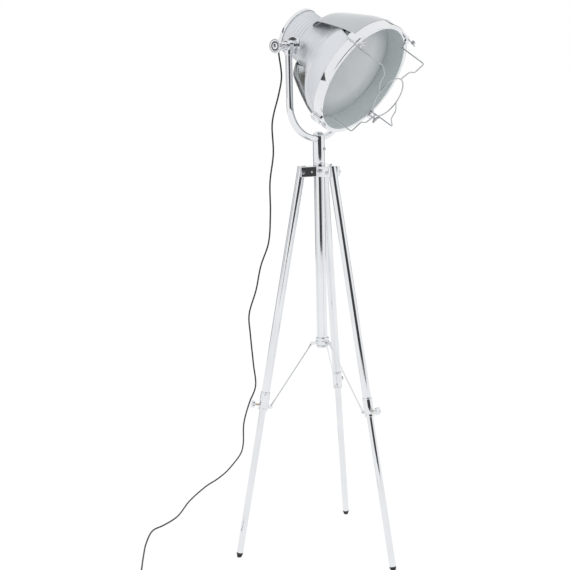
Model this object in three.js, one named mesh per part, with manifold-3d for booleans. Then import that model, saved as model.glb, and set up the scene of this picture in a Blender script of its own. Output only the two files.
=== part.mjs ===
import * as THREE from 'three';
import { mergeVertices } from 'three/addons/utils/BufferGeometryUtils.js';
import Module from 'manifold-3d';

const wasm = await Module();
wasm.setup();

// Tripod spotlight floor lamp, in millimetres, +Z up.
// It is laid out about the column's axis, with the floor at z = 0.
// The last lines move the origin under the middle of the lamp's box, without the cord.

// Fits and facets
const fit = 0.3;          // gap between pieces that touch
const overrun = 2;        // how far a cut runs past what it cuts
const roundSides = 16;
const smallSides = 8;
const tubeSides = 10;
const wireSides = 6;
const headSides = 24;
const quarterTurn = Math.PI / 2;
const fullTurn = Math.PI * 2;
const degrees = THREE.MathUtils.degToRad;

// Main sizes
const pivotHeight = 1530;       // tilt axis above the floor
const hingeHeight = 1167;       // leg bolts above the floor
const hingeRadius = 55;         // leg bolts out from the column's axis
const footRadius = 276;         // where a leg's axis meets the floor
const legAzimuths = [195.66, 315.66, 75.66].map(degrees);
const panAngle = degrees(-126.4);
const headDip = degrees(31.35); // how far the head looks down

const column = { radius: 16, bore: 11.5, spigotRadius: 13, spigotTop: 1248, capRadius: 17.5, capHeight: 9.6 };
column.bottom = 644.4;
column.plugLength = 15;
const hub = { width: 48.7, reach: 60.7, bottom: 1153.7, top: 1183.5, slotStart: 38 };
const bolt = { radius: 3, headRadius: 5.5, headHeight: 3, nutRadius: 5.8, nutHeight: 5 };

// Distances along a leg run down from its bolt
const leg = { radius: 12.5, bore: 11, rise: 13, length: 718, plugLength: 32, capHeight: 3 };
const sleeve = { top: 665, bottom: 722, radius: 14.7, lipHeight: 3.4 };
const lowerLeg = { radius: 10, bore: 8.5, top: 560, tipLength: 15, tipRadius: 6.5, plugLength: 14 };
const thumb = { station: 706, shankRadius: 2.6, knobStart: 28.5, knobLength: 9.5, knobRadius: 11 };
const spreader = { rest: 646, height: 22, radius: 20.5, lugRadius: 31, lugDrop: 6 };
const strut = { rodRadius: 2.25, eyeRadius: 5, pinRadius: 1.9, headRadius: 4, headHeight: 2.2 };
strut.lugStation = 710;
strut.lugInset = 23;
strut.lugThickness = 4;

// Stem and yoke, with heights above the floor and distances along the tilt axis
const stem = { radius: 17.5, domeHeight: 16, top: 1284, boreTop: 1250 };
const stemScrew = { height: 1232, radius: 3, headRadius: 5, headHeight: 3.6, azimuth: degrees(-20) };
const yoke = { armReach: 133, tubeRadius: 10, tubeBore: 7.6, bendHeight: 1366, bottom: 1263 };
const eye = { radius: 15, inner: 120, outer: 146, spacerRadius: 12, collarRadius: 11.8 };
eye.collarDrop = 26;
eye.plugDrop = 48;
const stud = { bossRadius: 11.5, washerRadius: 25, washerInner: 107.5, washerOuter: 113.5, radius: 5 };
stud.end = 160;
const knob = { barrelRadius: 10.5, barrelEnd: 174, shankRadius: 4.5, discRadius: 20.5, discStart: 187 };
knob.discEnd = 195;
knob.boreEnd = 163;
knob.edge = 2.5;

// Head, with distances along its axis forward from the tilt axis
const neck = { rear: -78, radius: 71, wall: 3, front: 76, flareRadius: 118 };
const groove = { count: 7, pitch: 9.5, width: 4.6, depth: 1.7, first: -14 };
const bell = { start: 76.3, front: 176, rimStart: 158, rimRadius: 172.2, wall: 2.5, windowHalf: 118 };
const ring = { rear: 166, front: 192, radius: 174, lipRadius: 161.5, wall: 1.5, hoodRear: 137 };
ring.hoodRadius = 152;
const lens = { edgeRadius: 155, domeRadius: 148, bulge: 29, flange: 5, wall: 3 };
const reflector = { rimRadius: 150, mouthRadius: 140, throatRadius: 24, throat: 12, rim: 128, wall: 1.5 };
reflector.bend = 1.6;
const holder = { rear: -73.7, radius: 19, rimRadius: 21, rimHeight: 8, front: 5, bore: 13.7, boreDepth: 27 };
const bulb = { base: -21, capRadius: 13.3, capLength: 25, globeRadius: 30, tip: 86 };
const rearCap = { radius: 73, thickness: 5, edge: 2.5, plugRadius: 67.5, plugLength: 4 };
const shield = { rear: -7, rearRadius: 80, rimEnd: 165.7, wall: 1.5, halfAngle: degrees(41), lip: 2.5 };
const clamp = { width: 18, outer: 184, rear: 161, hookRadius: 165, hookFront: 195.6 };
clamp.angles = [135, 45, -135, -45].map(degrees);
clamp.boltRadius = 2.5;
clamp.boltOut = 179.5;
clamp.boltEnd = 217;
const wing = { start: 206, length: 9, radius: 5, span: 13, thickness: 2.6, rise: 4 };
const guard = { wireRadius: 1.75, legRadius: 148, depth: 92, hoopRadius: 60, cornerRadius: 146 };
guard.jog = degrees(26);
const gland = { angle: degrees(22.4), seat: 86, flangeRadius: 8.5, flangeEnd: 93, bootRadius: 6, end: 112 };
gland.stubRadius = 5;
gland.stubStart = 72;

// Cord: its route is in millimetres about the column's axis, chosen by hand
const cord = { diameter: 5, sides: 8, stepsPerPoint: 2 };
const coil = { layers: 2, turnsPerLayer: 2, pitch: 5.7, innerRadius: 24.6, lift: 5.6, steps: 24, sides: 6 };
coil.x = -514;
coil.y = -305;
coil.start = Math.PI;
coil.ease = 1 / 8;        // how gently the two halves of the coil part in the middle, in turns
coil.tail = 36;           // straight run from the last loop to the plug
const plug = { height: 16.8, width: 26, length: 38, pinRadius: 2, pinLength: 19, pinSpacing: 19 };
plug.neckWidth = 13;

// Outline shares: how far along, then how far out, from a start to an end
const flareShares = [[0.1, 0.02], [0.24, 0.08], [0.4, 0.2], [0.56, 0.38], [0.72, 0.6], [0.88, 0.86], [1, 1]];
const bellShares = [[0, 0], [0.05, 0.14], [0.14, 0.3], [0.26, 0.5], [0.42, 0.7], [0.6, 0.83], [0.82, 0.95]];
const shieldShares = [[0, 0], [0.06, 0.18], [0.13, 0.34], [0.26, 0.48], [0.4, 0.6], [0.62, 0.78], [0.82, 0.92]];
const globeShares = [[0.28, 0.5], [0.42, 0.82], [0.56, 0.98], [0.7, 1], [0.84, 0.86], [0.94, 0.56]];
const plugShares = [[0, 0.5], [0.35, 0.6], [0.5, 1], [1, 1]];

const finishes = {
  chrome: new THREE.MeshStandardMaterial({ color: 0xd4d8dc, roughness: 0.12, metalness: 1 }),
  enamel: new THREE.MeshStandardMaterial({ color: 0xe6e9ee, roughness: 0.35, metalness: 0 }),
  rubber: new THREE.MeshStandardMaterial({ color: 0x2a2c2e, roughness: 0.7, metalness: 0 }),
  glass: new THREE.MeshStandardMaterial({ color: 0xcfd4d8, roughness: 0.45, metalness: 0 }),
  reflector: new THREE.MeshStandardMaterial({ color: 0xdfe1e3, roughness: 0.25, metalness: 1 }),
  porcelain: new THREE.MeshStandardMaterial({ color: 0xf0eee8, roughness: 0.4, metalness: 0 }),
  hood: new THREE.MeshStandardMaterial({ color: 0xb4bcbc, roughness: 0.5, metalness: 0 })
};

// Closed bodies from three.js geometries

function signedVolume(geometry) {
  const place = geometry.attributes.position;
  const index = geometry.index.array;
  const corner = [0, 1, 2].map(() => new THREE.Vector3());
  let volume = 0;
  for (let i = 0; i < index.length; i += 3) {
    corner.forEach((point, k) => point.fromBufferAttribute(place, index[i + k]));
    volume += corner[0].dot(corner[1].clone().cross(corner[2])) / 6;
  }
  return volume;
}

function closed(source) {
  const bare = source.clone();
  bare.deleteAttribute('normal');
  bare.deleteAttribute('uv');
  const geometry = mergeVertices(bare);
  const whole = [];
  const index = geometry.index.array;
  for (let i = 0; i < index.length; i += 3) {
    const [a, b, c] = [index[i], index[i + 1], index[i + 2]];
    if (a !== b && b !== c && c !== a) whole.push(a, b, c);
  }
  geometry.setIndex(whole);
  if (signedVolume(geometry) < 0) geometry.setIndex(whole.reverse());
  return geometry;
}

function solidOf(geometry) {
  const vertProperties = new Float32Array(geometry.attributes.position.array);
  const triVerts = new Uint32Array(geometry.index.array);
  return new wasm.Manifold(new wasm.Mesh({ numProp: 3, vertProperties, triVerts }));
}

function geometryOf(solid) {
  const mesh = solid.getMesh();
  const geometry = new THREE.BufferGeometry();
  geometry.setAttribute('position', new THREE.BufferAttribute(new Float32Array(mesh.vertProperties), 3));
  geometry.setIndex(new THREE.BufferAttribute(new Uint32Array(mesh.triVerts), 1));
  return geometry;
}

function join(...shapes) {
  return geometryOf(shapes.map(solidOf).reduce((sum, shape) => sum.add(shape)));
}

function cut(shape, ...tools) {
  return geometryOf(tools.map(solidOf).reduce((rest, tool) => rest.subtract(tool), solidOf(shape)));
}

function common(shape, tool) {
  return geometryOf(solidOf(shape).intersect(solidOf(tool)));
}

// A profile of [radius, height] points turned about Z; off the axis it closes on itself
function turned(profile, sides = roundSides) {
  const points = profile.map(([radius, height]) => new THREE.Vector2(radius, height));
  if (profile[0][0] > 0) points.push(points[0].clone());
  return closed(new THREE.LatheGeometry(points, sides).rotateX(quarterTurn));
}

function rod(radius, low, high, sides = roundSides) {
  return turned([[0, low], [radius, low], [radius, high], [0, high]], sides);
}

function pipe(outer, inner, low, high, sides = roundSides) {
  return turned([[inner, low], [outer, low], [outer, high], [inner, high]], sides);
}

function alongX(shape) {
  return shape.clone().rotateY(quarterTurn);
}

function alongY(shape) {
  return shape.clone().rotateX(-quarterTurn);
}

function block(x, y, z) {
  const box = new THREE.BoxGeometry(x[1] - x[0], y[1] - y[0], z[1] - z[0]);
  return closed(box.translate((x[0] + x[1]) / 2, (y[0] + y[1]) / 2, (z[0] + z[1]) / 2));
}

function polygon(radius, sides) {
  const turn = fullTurn / sides;
  const points = [];
  for (let i = 0; i < sides; i += 1) {
    const angle = turn * (i + 1 / 2);
    points.push(new THREE.Vector2(radius * Math.cos(angle), radius * Math.sin(angle)));
  }
  return points;
}

function tube(path, radius, steps, sides, bore = 0) {
  const section = new THREE.Shape(polygon(radius, sides));
  if (bore > 0) section.holes.push(new THREE.Path(polygon(bore, sides)));
  return closed(new THREE.ExtrudeGeometry(section, { steps, extrudePath: path, curveSegments: 1 }));
}

// Steps follow the chosen points, so that they are closest where the points are
function byPoints(points) {
  const curve = new THREE.CatmullRomCurve3(points, false, 'centripetal');
  curve.getSpacedPoints = (steps) => curve.getPoints(steps);
  curve.getTangentAt = (share) => curve.getTangent(share);
  return curve;
}

function mesh(name, geometry, finish) {
  const piece = new THREE.Mesh(geometry, finish);
  piece.name = name;
  return piece;
}

// Profile points between a start and an end, both [radius, height], from shares
function between(start, end, shares) {
  const [startRadius, startHeight] = start;
  const rise = end[1] - startHeight;
  const growth = end[0] - startRadius;
  return shares.map(([along, out]) => [startRadius + growth * out, startHeight + rise * along]);
}

// The same line of a profile, moved inward square to itself
function inward(line, wall) {
  return line.map(([radius, height], i) => {
    const before = line[Math.max(i - 1, 0)];
    const after = line[Math.min(i + 1, line.length - 1)];
    const run = Math.hypot(after[0] - before[0], after[1] - before[1]);
    const lean = (after[0] - before[0]) / run;
    const along = (after[1] - before[1]) / run;
    return [radius - wall * along, height + wall * lean];
  });
}

function shell(line, wall) {
  const inside = inward(line, wall);
  inside[0][1] = line[0][1];
  inside[inside.length - 1][1] = line[line.length - 1][1];
  return [...line, ...inside.reverse()];
}

// Column and hub

function hubShape() {
  const arms = legAzimuths.map((azimuth) => {
    const half = hub.width / 2;
    return block([0, hub.reach], [-half, half], [hub.bottom, hub.top]).rotateZ(azimuth);
  });
  const cuts = [rod(column.radius + fit, hub.bottom - overrun, hub.top + overrun)];
  legAzimuths.forEach((azimuth) => {
    const half = leg.radius + fit * 2;
    const reach = [hub.slotStart, hub.reach + overrun];
    const slot = block(reach, [-half, half], [hub.bottom - overrun, hub.top + overrun]);
    const side = hub.width / 2 + overrun;
    const hole = alongY(rod(bolt.radius + fit, -side, side, smallSides));
    hole.translate(hingeRadius, 0, hingeHeight);
    cuts.push(slot.rotateZ(azimuth), hole.rotateZ(azimuth));
  });
  return cut(join(...arms), ...cuts);
}

function columnShape() {
  const shoulder = hub.top;
  return turned([
    [column.bore, column.bottom],
    [column.radius, column.bottom],
    [column.radius, shoulder],
    [column.spigotRadius, shoulder],
    [column.spigotRadius, column.spigotTop],
    [column.bore, column.spigotTop]
  ]);
}

function endCapShape() {
  const top = column.bottom - fit;
  const plugRadius = column.bore - fit;
  return turned([
    [0, top - column.capHeight],
    [column.capRadius, top - column.capHeight],
    [column.capRadius, top],
    [plugRadius, top],
    [plugRadius, top + column.plugLength],
    [0, top + column.plugLength]
  ]);
}

function boltShape() {
  const side = hub.width / 2 + fit;
  const shape = turned([
    [0, -side - bolt.headHeight],
    [bolt.headRadius - fit, -side - bolt.headHeight],
    [bolt.headRadius, -side],
    [bolt.radius, -side],
    [bolt.radius, side],
    [bolt.nutRadius, side],
    [bolt.nutRadius, side + bolt.nutHeight],
    [0, side + bolt.nutHeight]
  ], smallSides);
  return alongY(shape);
}

// Legs: each leg's own axes have Z up along the tube and X outward

const legTilt = Math.atan((footRadius - hingeRadius) / hingeHeight);
const legLength = Math.hypot(footRadius - hingeRadius, hingeHeight);

function crossHole(radius) {
  return alongY(rod(radius, -hub.width, hub.width, smallSides));
}

function legEndShape() {
  const plugRadius = leg.bore - fit;
  const shape = turned([
    [0, -leg.plugLength],
    [plugRadius, -leg.plugLength],
    [plugRadius, leg.rise + fit],
    [leg.radius, leg.rise + fit],
    [leg.radius, leg.rise + leg.capHeight],
    [0, leg.rise + leg.capHeight]
  ]);
  return cut(shape, crossHole(bolt.radius + fit));
}

function upperLegShape() {
  const screwHole = alongX(rod(thumb.shankRadius + fit, 0, leg.radius + overrun, smallSides));
  screwHole.translate(0, 0, -thumb.station);
  const shape = pipe(leg.radius, leg.bore, -leg.length, leg.rise);
  return cut(shape, crossHole(bolt.radius + fit), screwHole);
}

function lugPlate(reach, root) {
  const thickness = strut.lugThickness;
  const plate = block([root, reach], [fit, fit + thickness], [-strut.eyeRadius, strut.eyeRadius]);
  const end = alongY(rod(strut.eyeRadius, fit, fit + thickness, smallSides)).translate(reach, 0, 0);
  return join(plate, end);
}

function sleeveShape() {
  const inner = leg.radius + fit;
  const guide = lowerLeg.radius + fit;
  const body = turned([
    [guide, -sleeve.bottom],
    [sleeve.radius, -sleeve.bottom],
    [sleeve.radius, -sleeve.top],
    [inner, -sleeve.top],
    [inner, -sleeve.bottom + sleeve.lipHeight],
    [guide, -sleeve.bottom + sleeve.lipHeight]
  ]);
  const lug = lugPlate(strut.lugInset, inner + fit).rotateZ(Math.PI);
  lug.translate(0, 2 * fit + strut.lugThickness, -strut.lugStation);
  const screwHole = alongX(rod(thumb.shankRadius + fit, 0, sleeve.radius + overrun, smallSides));
  return cut(join(body, lug), screwHole.translate(0, 0, -thumb.station));
}

function thumbscrewShape() {
  const knobEnd = thumb.knobStart + thumb.knobLength;
  const flange = thumb.shankRadius + fit * 2;
  const shape = turned([
    [0, lowerLeg.radius + fit],
    [thumb.shankRadius, lowerLeg.radius + fit],
    [thumb.shankRadius, sleeve.radius + fit],
    [flange, sleeve.radius + fit],
    [flange, thumb.knobStart],
    [thumb.knobRadius, thumb.knobStart],
    [thumb.knobRadius, knobEnd],
    [0, knobEnd]
  ], smallSides);
  return alongX(shape).translate(0, 0, -thumb.station);
}

function lowerLegShape() {
  return pipe(lowerLeg.radius, lowerLeg.bore, lowerLeg.tipLength - legLength, -lowerLeg.top);
}

// The tip is cut level with the floor
function footTipShape() {
  const top = lowerLeg.tipLength - fit - legLength;
  const plugRadius = lowerLeg.bore - fit;
  const below = legLength + lowerLeg.tipLength;
  const shape = turned([
    [0, -below],
    [lowerLeg.tipRadius, -below],
    [lowerLeg.tipRadius, -legLength],
    [lowerLeg.radius, top - fit],
    [lowerLeg.radius, top],
    [plugRadius, top],
    [plugRadius, top + lowerLeg.plugLength],
    [0, top + lowerLeg.plugLength]
  ]);
  const floor = rod(hingeRadius, -lowerLeg.tipLength * 2, 0).rotateY(legTilt).translate(0, 0, -legLength);
  return cut(shape, floor);
}

// Spreader: the struts lie beside the lugs, on the side away from the plates

function spreaderShape() {
  const top = spreader.rest + spreader.height;
  const pivot = spreader.rest + spreader.lugDrop;
  const body = rod(spreader.radius, spreader.rest, top);
  const lugs = legAzimuths.map((azimuth) => {
    const plate = lugPlate(spreader.lugRadius, 0);
    const pinEnd = -strut.rodRadius * 2 - fit;
    const pin = alongY(rod(strut.pinRadius, pinEnd, fit * 2, smallSides)).translate(spreader.lugRadius, 0, 0);
    const head = alongY(rod(strut.headRadius, pinEnd - strut.headHeight, pinEnd, smallSides));
    const lug = join(plate, pin, head.translate(spreader.lugRadius, 0, 0));
    return lug.translate(0, 0, pivot).rotateZ(azimuth);
  });
  const bore = rod(column.radius + fit, spreader.rest - overrun, top + overrun);
  return cut(join(body, ...lugs), bore);
}

const strutTop = new THREE.Vector3(spreader.lugRadius, 0, spreader.rest + spreader.lugDrop);
const strutFoot = new THREE.Vector3(
  hingeRadius + strut.lugStation * Math.sin(legTilt) - strut.lugInset * Math.cos(legTilt),
  0,
  hingeHeight - strut.lugStation * Math.cos(legTilt) - strut.lugInset * Math.sin(legTilt)
);

// A strut's own axes have its upper pin at the origin and Z up along the rod
function strutShape() {
  const length = strutTop.distanceTo(strutFoot);
  const width = strut.rodRadius * 2;
  const eyes = [0, -length].map((height) => {
    return alongY(rod(strut.eyeRadius - fit, -width, 0, smallSides)).translate(0, 0, height);
  });
  const bar = rod(strut.rodRadius, -length, 0, wireSides).translate(0, -strut.rodRadius, 0);
  const head = alongY(rod(strut.headRadius, -width - strut.headHeight, -strut.rodRadius, smallSides));
  const hole = alongY(rod(strut.pinRadius + fit, -width - overrun, overrun, smallSides));
  return cut(join(...eyes, bar, head.translate(0, 0, -length)), hole);
}

// Stem and yoke: X along the tilt axis, Y forward, Z up, with the tilt axis at z = 0

function yokePath() {
  const arm = yoke.armReach;
  const top = -eye.collarDrop - fit;
  const bend = yoke.bendHeight - pivotHeight;
  const depth = yoke.bendHeight - yoke.bottom;
  const points = [new THREE.Vector3(-arm, 0, top), new THREE.Vector3(-arm, 0, (top + bend) / 2)];
  const bendSteps = 16;
  for (let i = 0; i <= bendSteps; i += 1) {
    const angle = Math.PI * (i / bendSteps);
    points.push(new THREE.Vector3(-arm * Math.cos(angle), 0, bend - depth * Math.sin(angle)));
  }
  points.push(new THREE.Vector3(arm, 0, (top + bend) / 2), new THREE.Vector3(arm, 0, top));
  return byPoints(points);
}

const yokeSteps = 26;

function yokeTubeShape() {
  return tube(yokePath(), yoke.tubeRadius, yokeSteps, tubeSides, yoke.tubeBore);
}

function stemShape() {
  const base = hub.top + fit - pivotHeight;
  const top = stem.top - pivotHeight;
  const bore = column.spigotRadius + fit;
  const boreTop = stem.boreTop - pivotHeight;
  const profile = [[0, boreTop], [bore, boreTop], [bore, base], [stem.radius, base]];
  const domeSteps = 5;
  for (let i = 0; i < domeSteps; i += 1) {
    const angle = quarterTurn * (i / domeSteps);
    profile.push([stem.radius * Math.cos(angle), top - stem.domeHeight * (1 - Math.sin(angle))]);
  }
  profile.push([0, top]);
  const tunnel = tube(yokePath(), yoke.tubeRadius + fit, yokeSteps, tubeSides);
  const hole = alongX(rod(stemScrew.radius + fit, column.spigotRadius, stem.radius + overrun, smallSides));
  hole.rotateZ(stemScrew.azimuth - panAngle).translate(0, 0, stemScrew.height - pivotHeight);
  return cut(turned(profile), tunnel, hole);
}

function stemScrewShape() {
  const seat = stem.radius + fit;
  const shape = turned([
    [0, column.spigotRadius + fit],
    [stemScrew.radius, column.spigotRadius + fit],
    [stemScrew.radius, seat],
    [stemScrew.headRadius, seat],
    [stemScrew.headRadius, seat + stemScrew.headHeight],
    [0, seat + stemScrew.headHeight]
  ], smallSides);
  return alongX(shape).rotateZ(stemScrew.azimuth - panAngle).translate(0, 0, stemScrew.height - pivotHeight);
}

function eyeShape() {
  const start = stud.washerOuter + fit;
  const body = alongX(turned([
    [0, start],
    [eye.spacerRadius, start],
    [eye.spacerRadius, eye.inner],
    [eye.radius, eye.inner],
    [eye.radius, eye.outer],
    [0, eye.outer]
  ]));
  const plugRadius = yoke.tubeBore - fit * 2;
  const collar = rod(eye.collarRadius, -eye.collarDrop, 0).translate(yoke.armReach, 0, 0);
  const peg = rod(plugRadius, -eye.plugDrop, 0, smallSides).translate(yoke.armReach, 0, 0);
  const hole = alongX(rod(stud.radius + fit, start - overrun, eye.outer + overrun));
  return cut(join(body, collar, peg), hole);
}

// The neck's outside, grown by a clearance, as a solid tool
function neckEnvelope(growth) {
  const line = [[neck.radius, neck.rear], ...neckFlare()];
  const grown = line.map(([radius, height]) => [radius + growth, height]);
  const first = grown[0][1] - overrun;
  const last = grown[grown.length - 1];
  return turned([[0, first], [grown[0][0], first], ...grown, [0, last[1]]], headSides);
}

function studShape() {
  const body = alongX(turned([
    [0, neck.radius - neck.wall],
    [stud.bossRadius, neck.radius - neck.wall],
    [stud.bossRadius, stud.washerInner],
    [stud.washerRadius, stud.washerInner],
    [stud.washerRadius, stud.washerOuter],
    [stud.radius, stud.washerOuter],
    [stud.radius, stud.end],
    [0, stud.end]
  ]));
  return cut(body, neckEnvelope(fit));
}

function knobShape() {
  const start = eye.outer + fit;
  const bore = stud.radius + fit;
  return alongX(turned([
    [0, knob.boreEnd],
    [bore, knob.boreEnd],
    [bore, start],
    [knob.barrelRadius, start],
    [knob.barrelRadius, knob.barrelEnd],
    [knob.shankRadius, knob.barrelEnd],
    [knob.shankRadius, knob.discStart],
    [knob.discRadius - knob.edge, knob.discStart],
    [knob.discRadius, knob.discStart + knob.edge],
    [knob.discRadius, knob.discEnd - knob.edge],
    [knob.discRadius - knob.edge, knob.discEnd],
    [0, knob.discEnd]
  ]));
}

// Head: Z forward along the lamp's axis, X along the tilt axis, Y towards its underside

function neckFlare() {
  return between([neck.radius, 0], [neck.flareRadius, neck.front], flareShares);
}

function neckLine() {
  const line = [[neck.radius, neck.rear]];
  for (let i = groove.count - 1; i >= 0; i -= 1) {
    const middle = groove.first - groove.pitch * i;
    line.push([neck.radius, middle - groove.width / 2]);
    line.push([neck.radius - groove.depth, middle]);
    line.push([neck.radius, middle + groove.width / 2]);
  }
  return [...line, ...neckFlare()];
}

function neckShape() {
  const plain = [[neck.radius, neck.rear], [neck.radius, 0], ...neckFlare()];
  const inside = inward(plain, neck.wall);
  inside[0][1] = neck.rear;
  inside[inside.length - 1][1] = neck.front;
  return turned([...neckLine(), ...inside.reverse()], headSides);
}

function bellLine() {
  const shoulder = [neck.flareRadius, bell.start];
  const line = between(shoulder, [bell.rimRadius, bell.front - bell.wall * 2], bellShares);
  return [...line, [bell.rimRadius, bell.front - bell.wall * 2], [bell.rimRadius, bell.front]];
}

function bellShape() {
  const whole = turned(shell(bellLine(), bell.wall), headSides);
  const across = [-ring.radius, ring.radius];
  const along = [bell.start - overrun, bell.rimStart];
  const upper = block(across, [-ring.radius, -bell.windowHalf], along);
  const lower = block(across, [bell.windowHalf, ring.radius], along);
  return cut(whole, upper, lower);
}

function ringShape() {
  const wall = ring.wall;
  const edge = wall;
  return turned([
    [ring.radius, ring.rear],
    [ring.radius, ring.front - edge],
    [ring.radius - edge, ring.front],
    [ring.lipRadius, ring.front],
    [ring.lipRadius - edge, ring.front - edge],
    [ring.hoodRadius, ring.hoodRear],
    [ring.hoodRadius + wall, ring.hoodRear],
    [ring.lipRadius, ring.front - wall * 2],
    [ring.radius - wall, ring.front - wall * 2],
    [ring.radius - wall, ring.rear]
  ], headSides);
}

function lensShape() {
  const seat = ring.hoodRear - fit;
  const curve = (lens.domeRadius ** 2 + lens.bulge ** 2) / (2 * lens.bulge);
  const centre = seat + lens.bulge - curve;
  const domeSteps = 5;
  const front = [];
  for (let i = domeSteps; i >= 0; i -= 1) {
    const radius = lens.domeRadius * (i / domeSteps);
    front.push([radius, centre + Math.sqrt(curve ** 2 - radius ** 2)]);
  }
  const back = front.slice().reverse().map(([radius, height]) => {
    return [radius * (1 - lens.wall / lens.domeRadius), height - lens.wall];
  });
  const rim = seat - lens.flange;
  const last = back.pop();
  const edge = [[last[0], rim], [lens.edgeRadius, rim], [lens.edgeRadius, seat]];
  return turned([...back, ...edge, ...front], headSides);
}

function reflectorShape() {
  const bowlSteps = 5;
  const line = [];
  const depth = reflector.rim - reflector.throat;
  for (let i = 0; i <= bowlSteps; i += 1) {
    const share = i / bowlSteps;
    const radius = reflector.throatRadius + (reflector.mouthRadius - reflector.throatRadius) * share;
    line.push([radius, reflector.throat + depth * share ** reflector.bend]);
  }
  const outer = line.map(([radius, height]) => [radius, height - reflector.wall * 2]);
  outer.pop();
  const front = ring.hoodRear - lens.flange - fit * 2;
  const rear = front - reflector.wall;
  const bowl = line.slice(0, -1);
  const mouth = [[reflector.mouthRadius, front], [reflector.rimRadius, front], [reflector.rimRadius, rear]];
  return turned([...bowl, ...mouth, [reflector.mouthRadius, rear], ...outer.reverse()], headSides);
}

function holderShape() {
  const rim = holder.front - holder.rimHeight;
  return turned([
    [0, holder.rear],
    [holder.radius, holder.rear],
    [holder.radius, rim],
    [holder.rimRadius, rim],
    [holder.rimRadius, holder.front],
    [holder.bore, holder.front],
    [holder.bore, holder.front - holder.boreDepth],
    [0, holder.front - holder.boreDepth]
  ]);
}

function bulbShape() {
  const neckHeight = bulb.base + bulb.capLength;
  const globe = between([0, neckHeight], [bulb.globeRadius, bulb.tip], globeShares);
  return turned([
    [0, bulb.base],
    [bulb.capRadius, bulb.base],
    [bulb.capRadius, neckHeight],
    ...globe,
    [0, bulb.tip]
  ]);
}

function glandAxis(shape) {
  return shape.rotateX(Math.PI + gland.angle);
}

function rearCapShape() {
  const front = neck.rear - fit;
  const back = front - rearCap.thickness;
  const plugEnd = front + rearCap.plugLength;
  const shape = turned([
    [0, back],
    [rearCap.radius - rearCap.edge, back],
    [rearCap.radius, back + rearCap.edge],
    [rearCap.radius, front],
    [rearCap.plugRadius, front],
    [rearCap.plugRadius, plugEnd],
    [0, plugEnd]
  ], headSides);
  return cut(shape, glandAxis(rod(gland.stubRadius + fit, gland.stubStart - overrun, gland.end, smallSides)));
}

function glandShape() {
  const flange = turned([
    [0, gland.seat - gland.flangeRadius],
    [gland.flangeRadius, gland.seat - gland.flangeRadius],
    [gland.flangeRadius, gland.flangeEnd],
    [gland.bootRadius, gland.flangeEnd],
    [cord.diameter / 2 + fit * 2, gland.end],
    [0, gland.end]
  ], smallSides);
  const back = neck.rear - fit - rearCap.thickness;
  const side = neck.radius;
  const inside = block([-side, side], [-side, side], [back - fit, 0]);
  const stub = rod(gland.stubRadius, gland.stubStart, gland.flangeEnd, smallSides);
  return join(cut(glandAxis(flange), inside), glandAxis(stub));
}

function shieldShape(side) {
  const rim = [ring.radius, shield.rimEnd - ring.wall * 4];
  const line = between([shield.rearRadius, shield.rear], rim, shieldShares);
  const outside = [[neck.radius + fit * 2, shield.rear], ...line, rim, [ring.radius, shield.rimEnd]];
  const inside = inward(outside.slice(1), shield.wall);
  inside[0] = [inside[0][0], shield.rear + shield.wall];
  inside[inside.length - 1][1] = shield.rimEnd;
  const lip = [neck.radius + shield.lip, shield.rear + shield.wall];
  const whole = turned([...outside, ...inside.reverse(), lip], headSides);
  const reach = ring.radius * 2;
  const spread = reach * Math.tan(shield.halfAngle);
  const corners = [[0, 0], [spread, side * reach], [-spread, side * reach]];
  const wedge = new THREE.Shape(corners.map(([x, y]) => new THREE.Vector2(x, y)));
  const sector = closed(new THREE.ExtrudeGeometry(wedge, { depth: ring.front * 2, bevelEnabled: false }));
  return common(whole, sector.translate(0, 0, -ring.front));
}

// A clamp's own X runs outward from the lamp's axis
function clampShape() {
  const half = [-clamp.width / 2, clamp.width / 2];
  const back = block([ring.radius + fit, clamp.outer], half, [clamp.rear, clamp.hookFront]);
  const frontHook = block([clamp.hookRadius, clamp.outer], half, [ring.front + fit, clamp.hookFront]);
  const forwardBolt = rod(clamp.boltRadius, ring.front, clamp.boltEnd, smallSides);
  return join(back, frontHook, forwardBolt.translate(clamp.boltOut, 0, 0));
}

function wingShape() {
  const top = wing.start + wing.length;
  const hubBody = rod(wing.radius, wing.start, top, smallSides);
  const wings = block([-wing.thickness / 2, wing.thickness / 2], [-wing.span, wing.span],
    [wing.start + wing.rise / 2, top + wing.rise / 2]);
  const hole = rod(clamp.boltRadius + fit, wing.start - overrun, top + wing.rise, smallSides);
  return cut(join(hubBody, wings), hole).translate(clamp.boltOut, 0, 0);
}

function guardShape() {
  const lie = ring.front + fit + guard.wireRadius;
  const front = ring.front + guard.depth;
  const foot = clamp.hookRadius - fit;
  const bend = guard.wireRadius * 3;
  const ends = clamp.angles.map((angle) => {
    const at = (radius, turn, height) => {
      return new THREE.Vector3(radius * Math.cos(angle + turn), radius * Math.sin(angle + turn), height);
    };
    const mid = (guard.cornerRadius + guard.hoopRadius) / 2;
    const points = [
      at(foot, 0, lie),
      at(guard.legRadius + bend, 0, lie),
      at(guard.legRadius, 0, lie + bend),
      at(guard.cornerRadius, 0, front - bend),
      at(guard.cornerRadius - bend, 0, front),
      at(mid + bend, 0, front),
      at(mid - bend, guard.jog / 2, front),
      at(guard.hoopRadius, guard.jog, front)
    ];
    return tube(byPoints(points), guard.wireRadius, points.length - 1, wireSides);
  });
  const hoop = closed(new THREE.TorusGeometry(guard.hoopRadius, guard.wireRadius, wireSides, headSides));
  return join(...ends, hoop.translate(0, 0, front));
}

// Cord, coil and plug

const cordLie = cord.diameter / 2 + fit;

function headPoint(forward, down) {
  const back = -forward * Math.cos(headDip) + down * Math.sin(headDip);
  const height = pivotHeight - forward * Math.sin(headDip) - down * Math.cos(headDip);
  return new THREE.Vector3(back * Math.sin(panAngle), -back * Math.cos(panAngle), height);
}

const coilTurns = coil.layers * coil.turnsPerLayer + 1 / 2;

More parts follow.
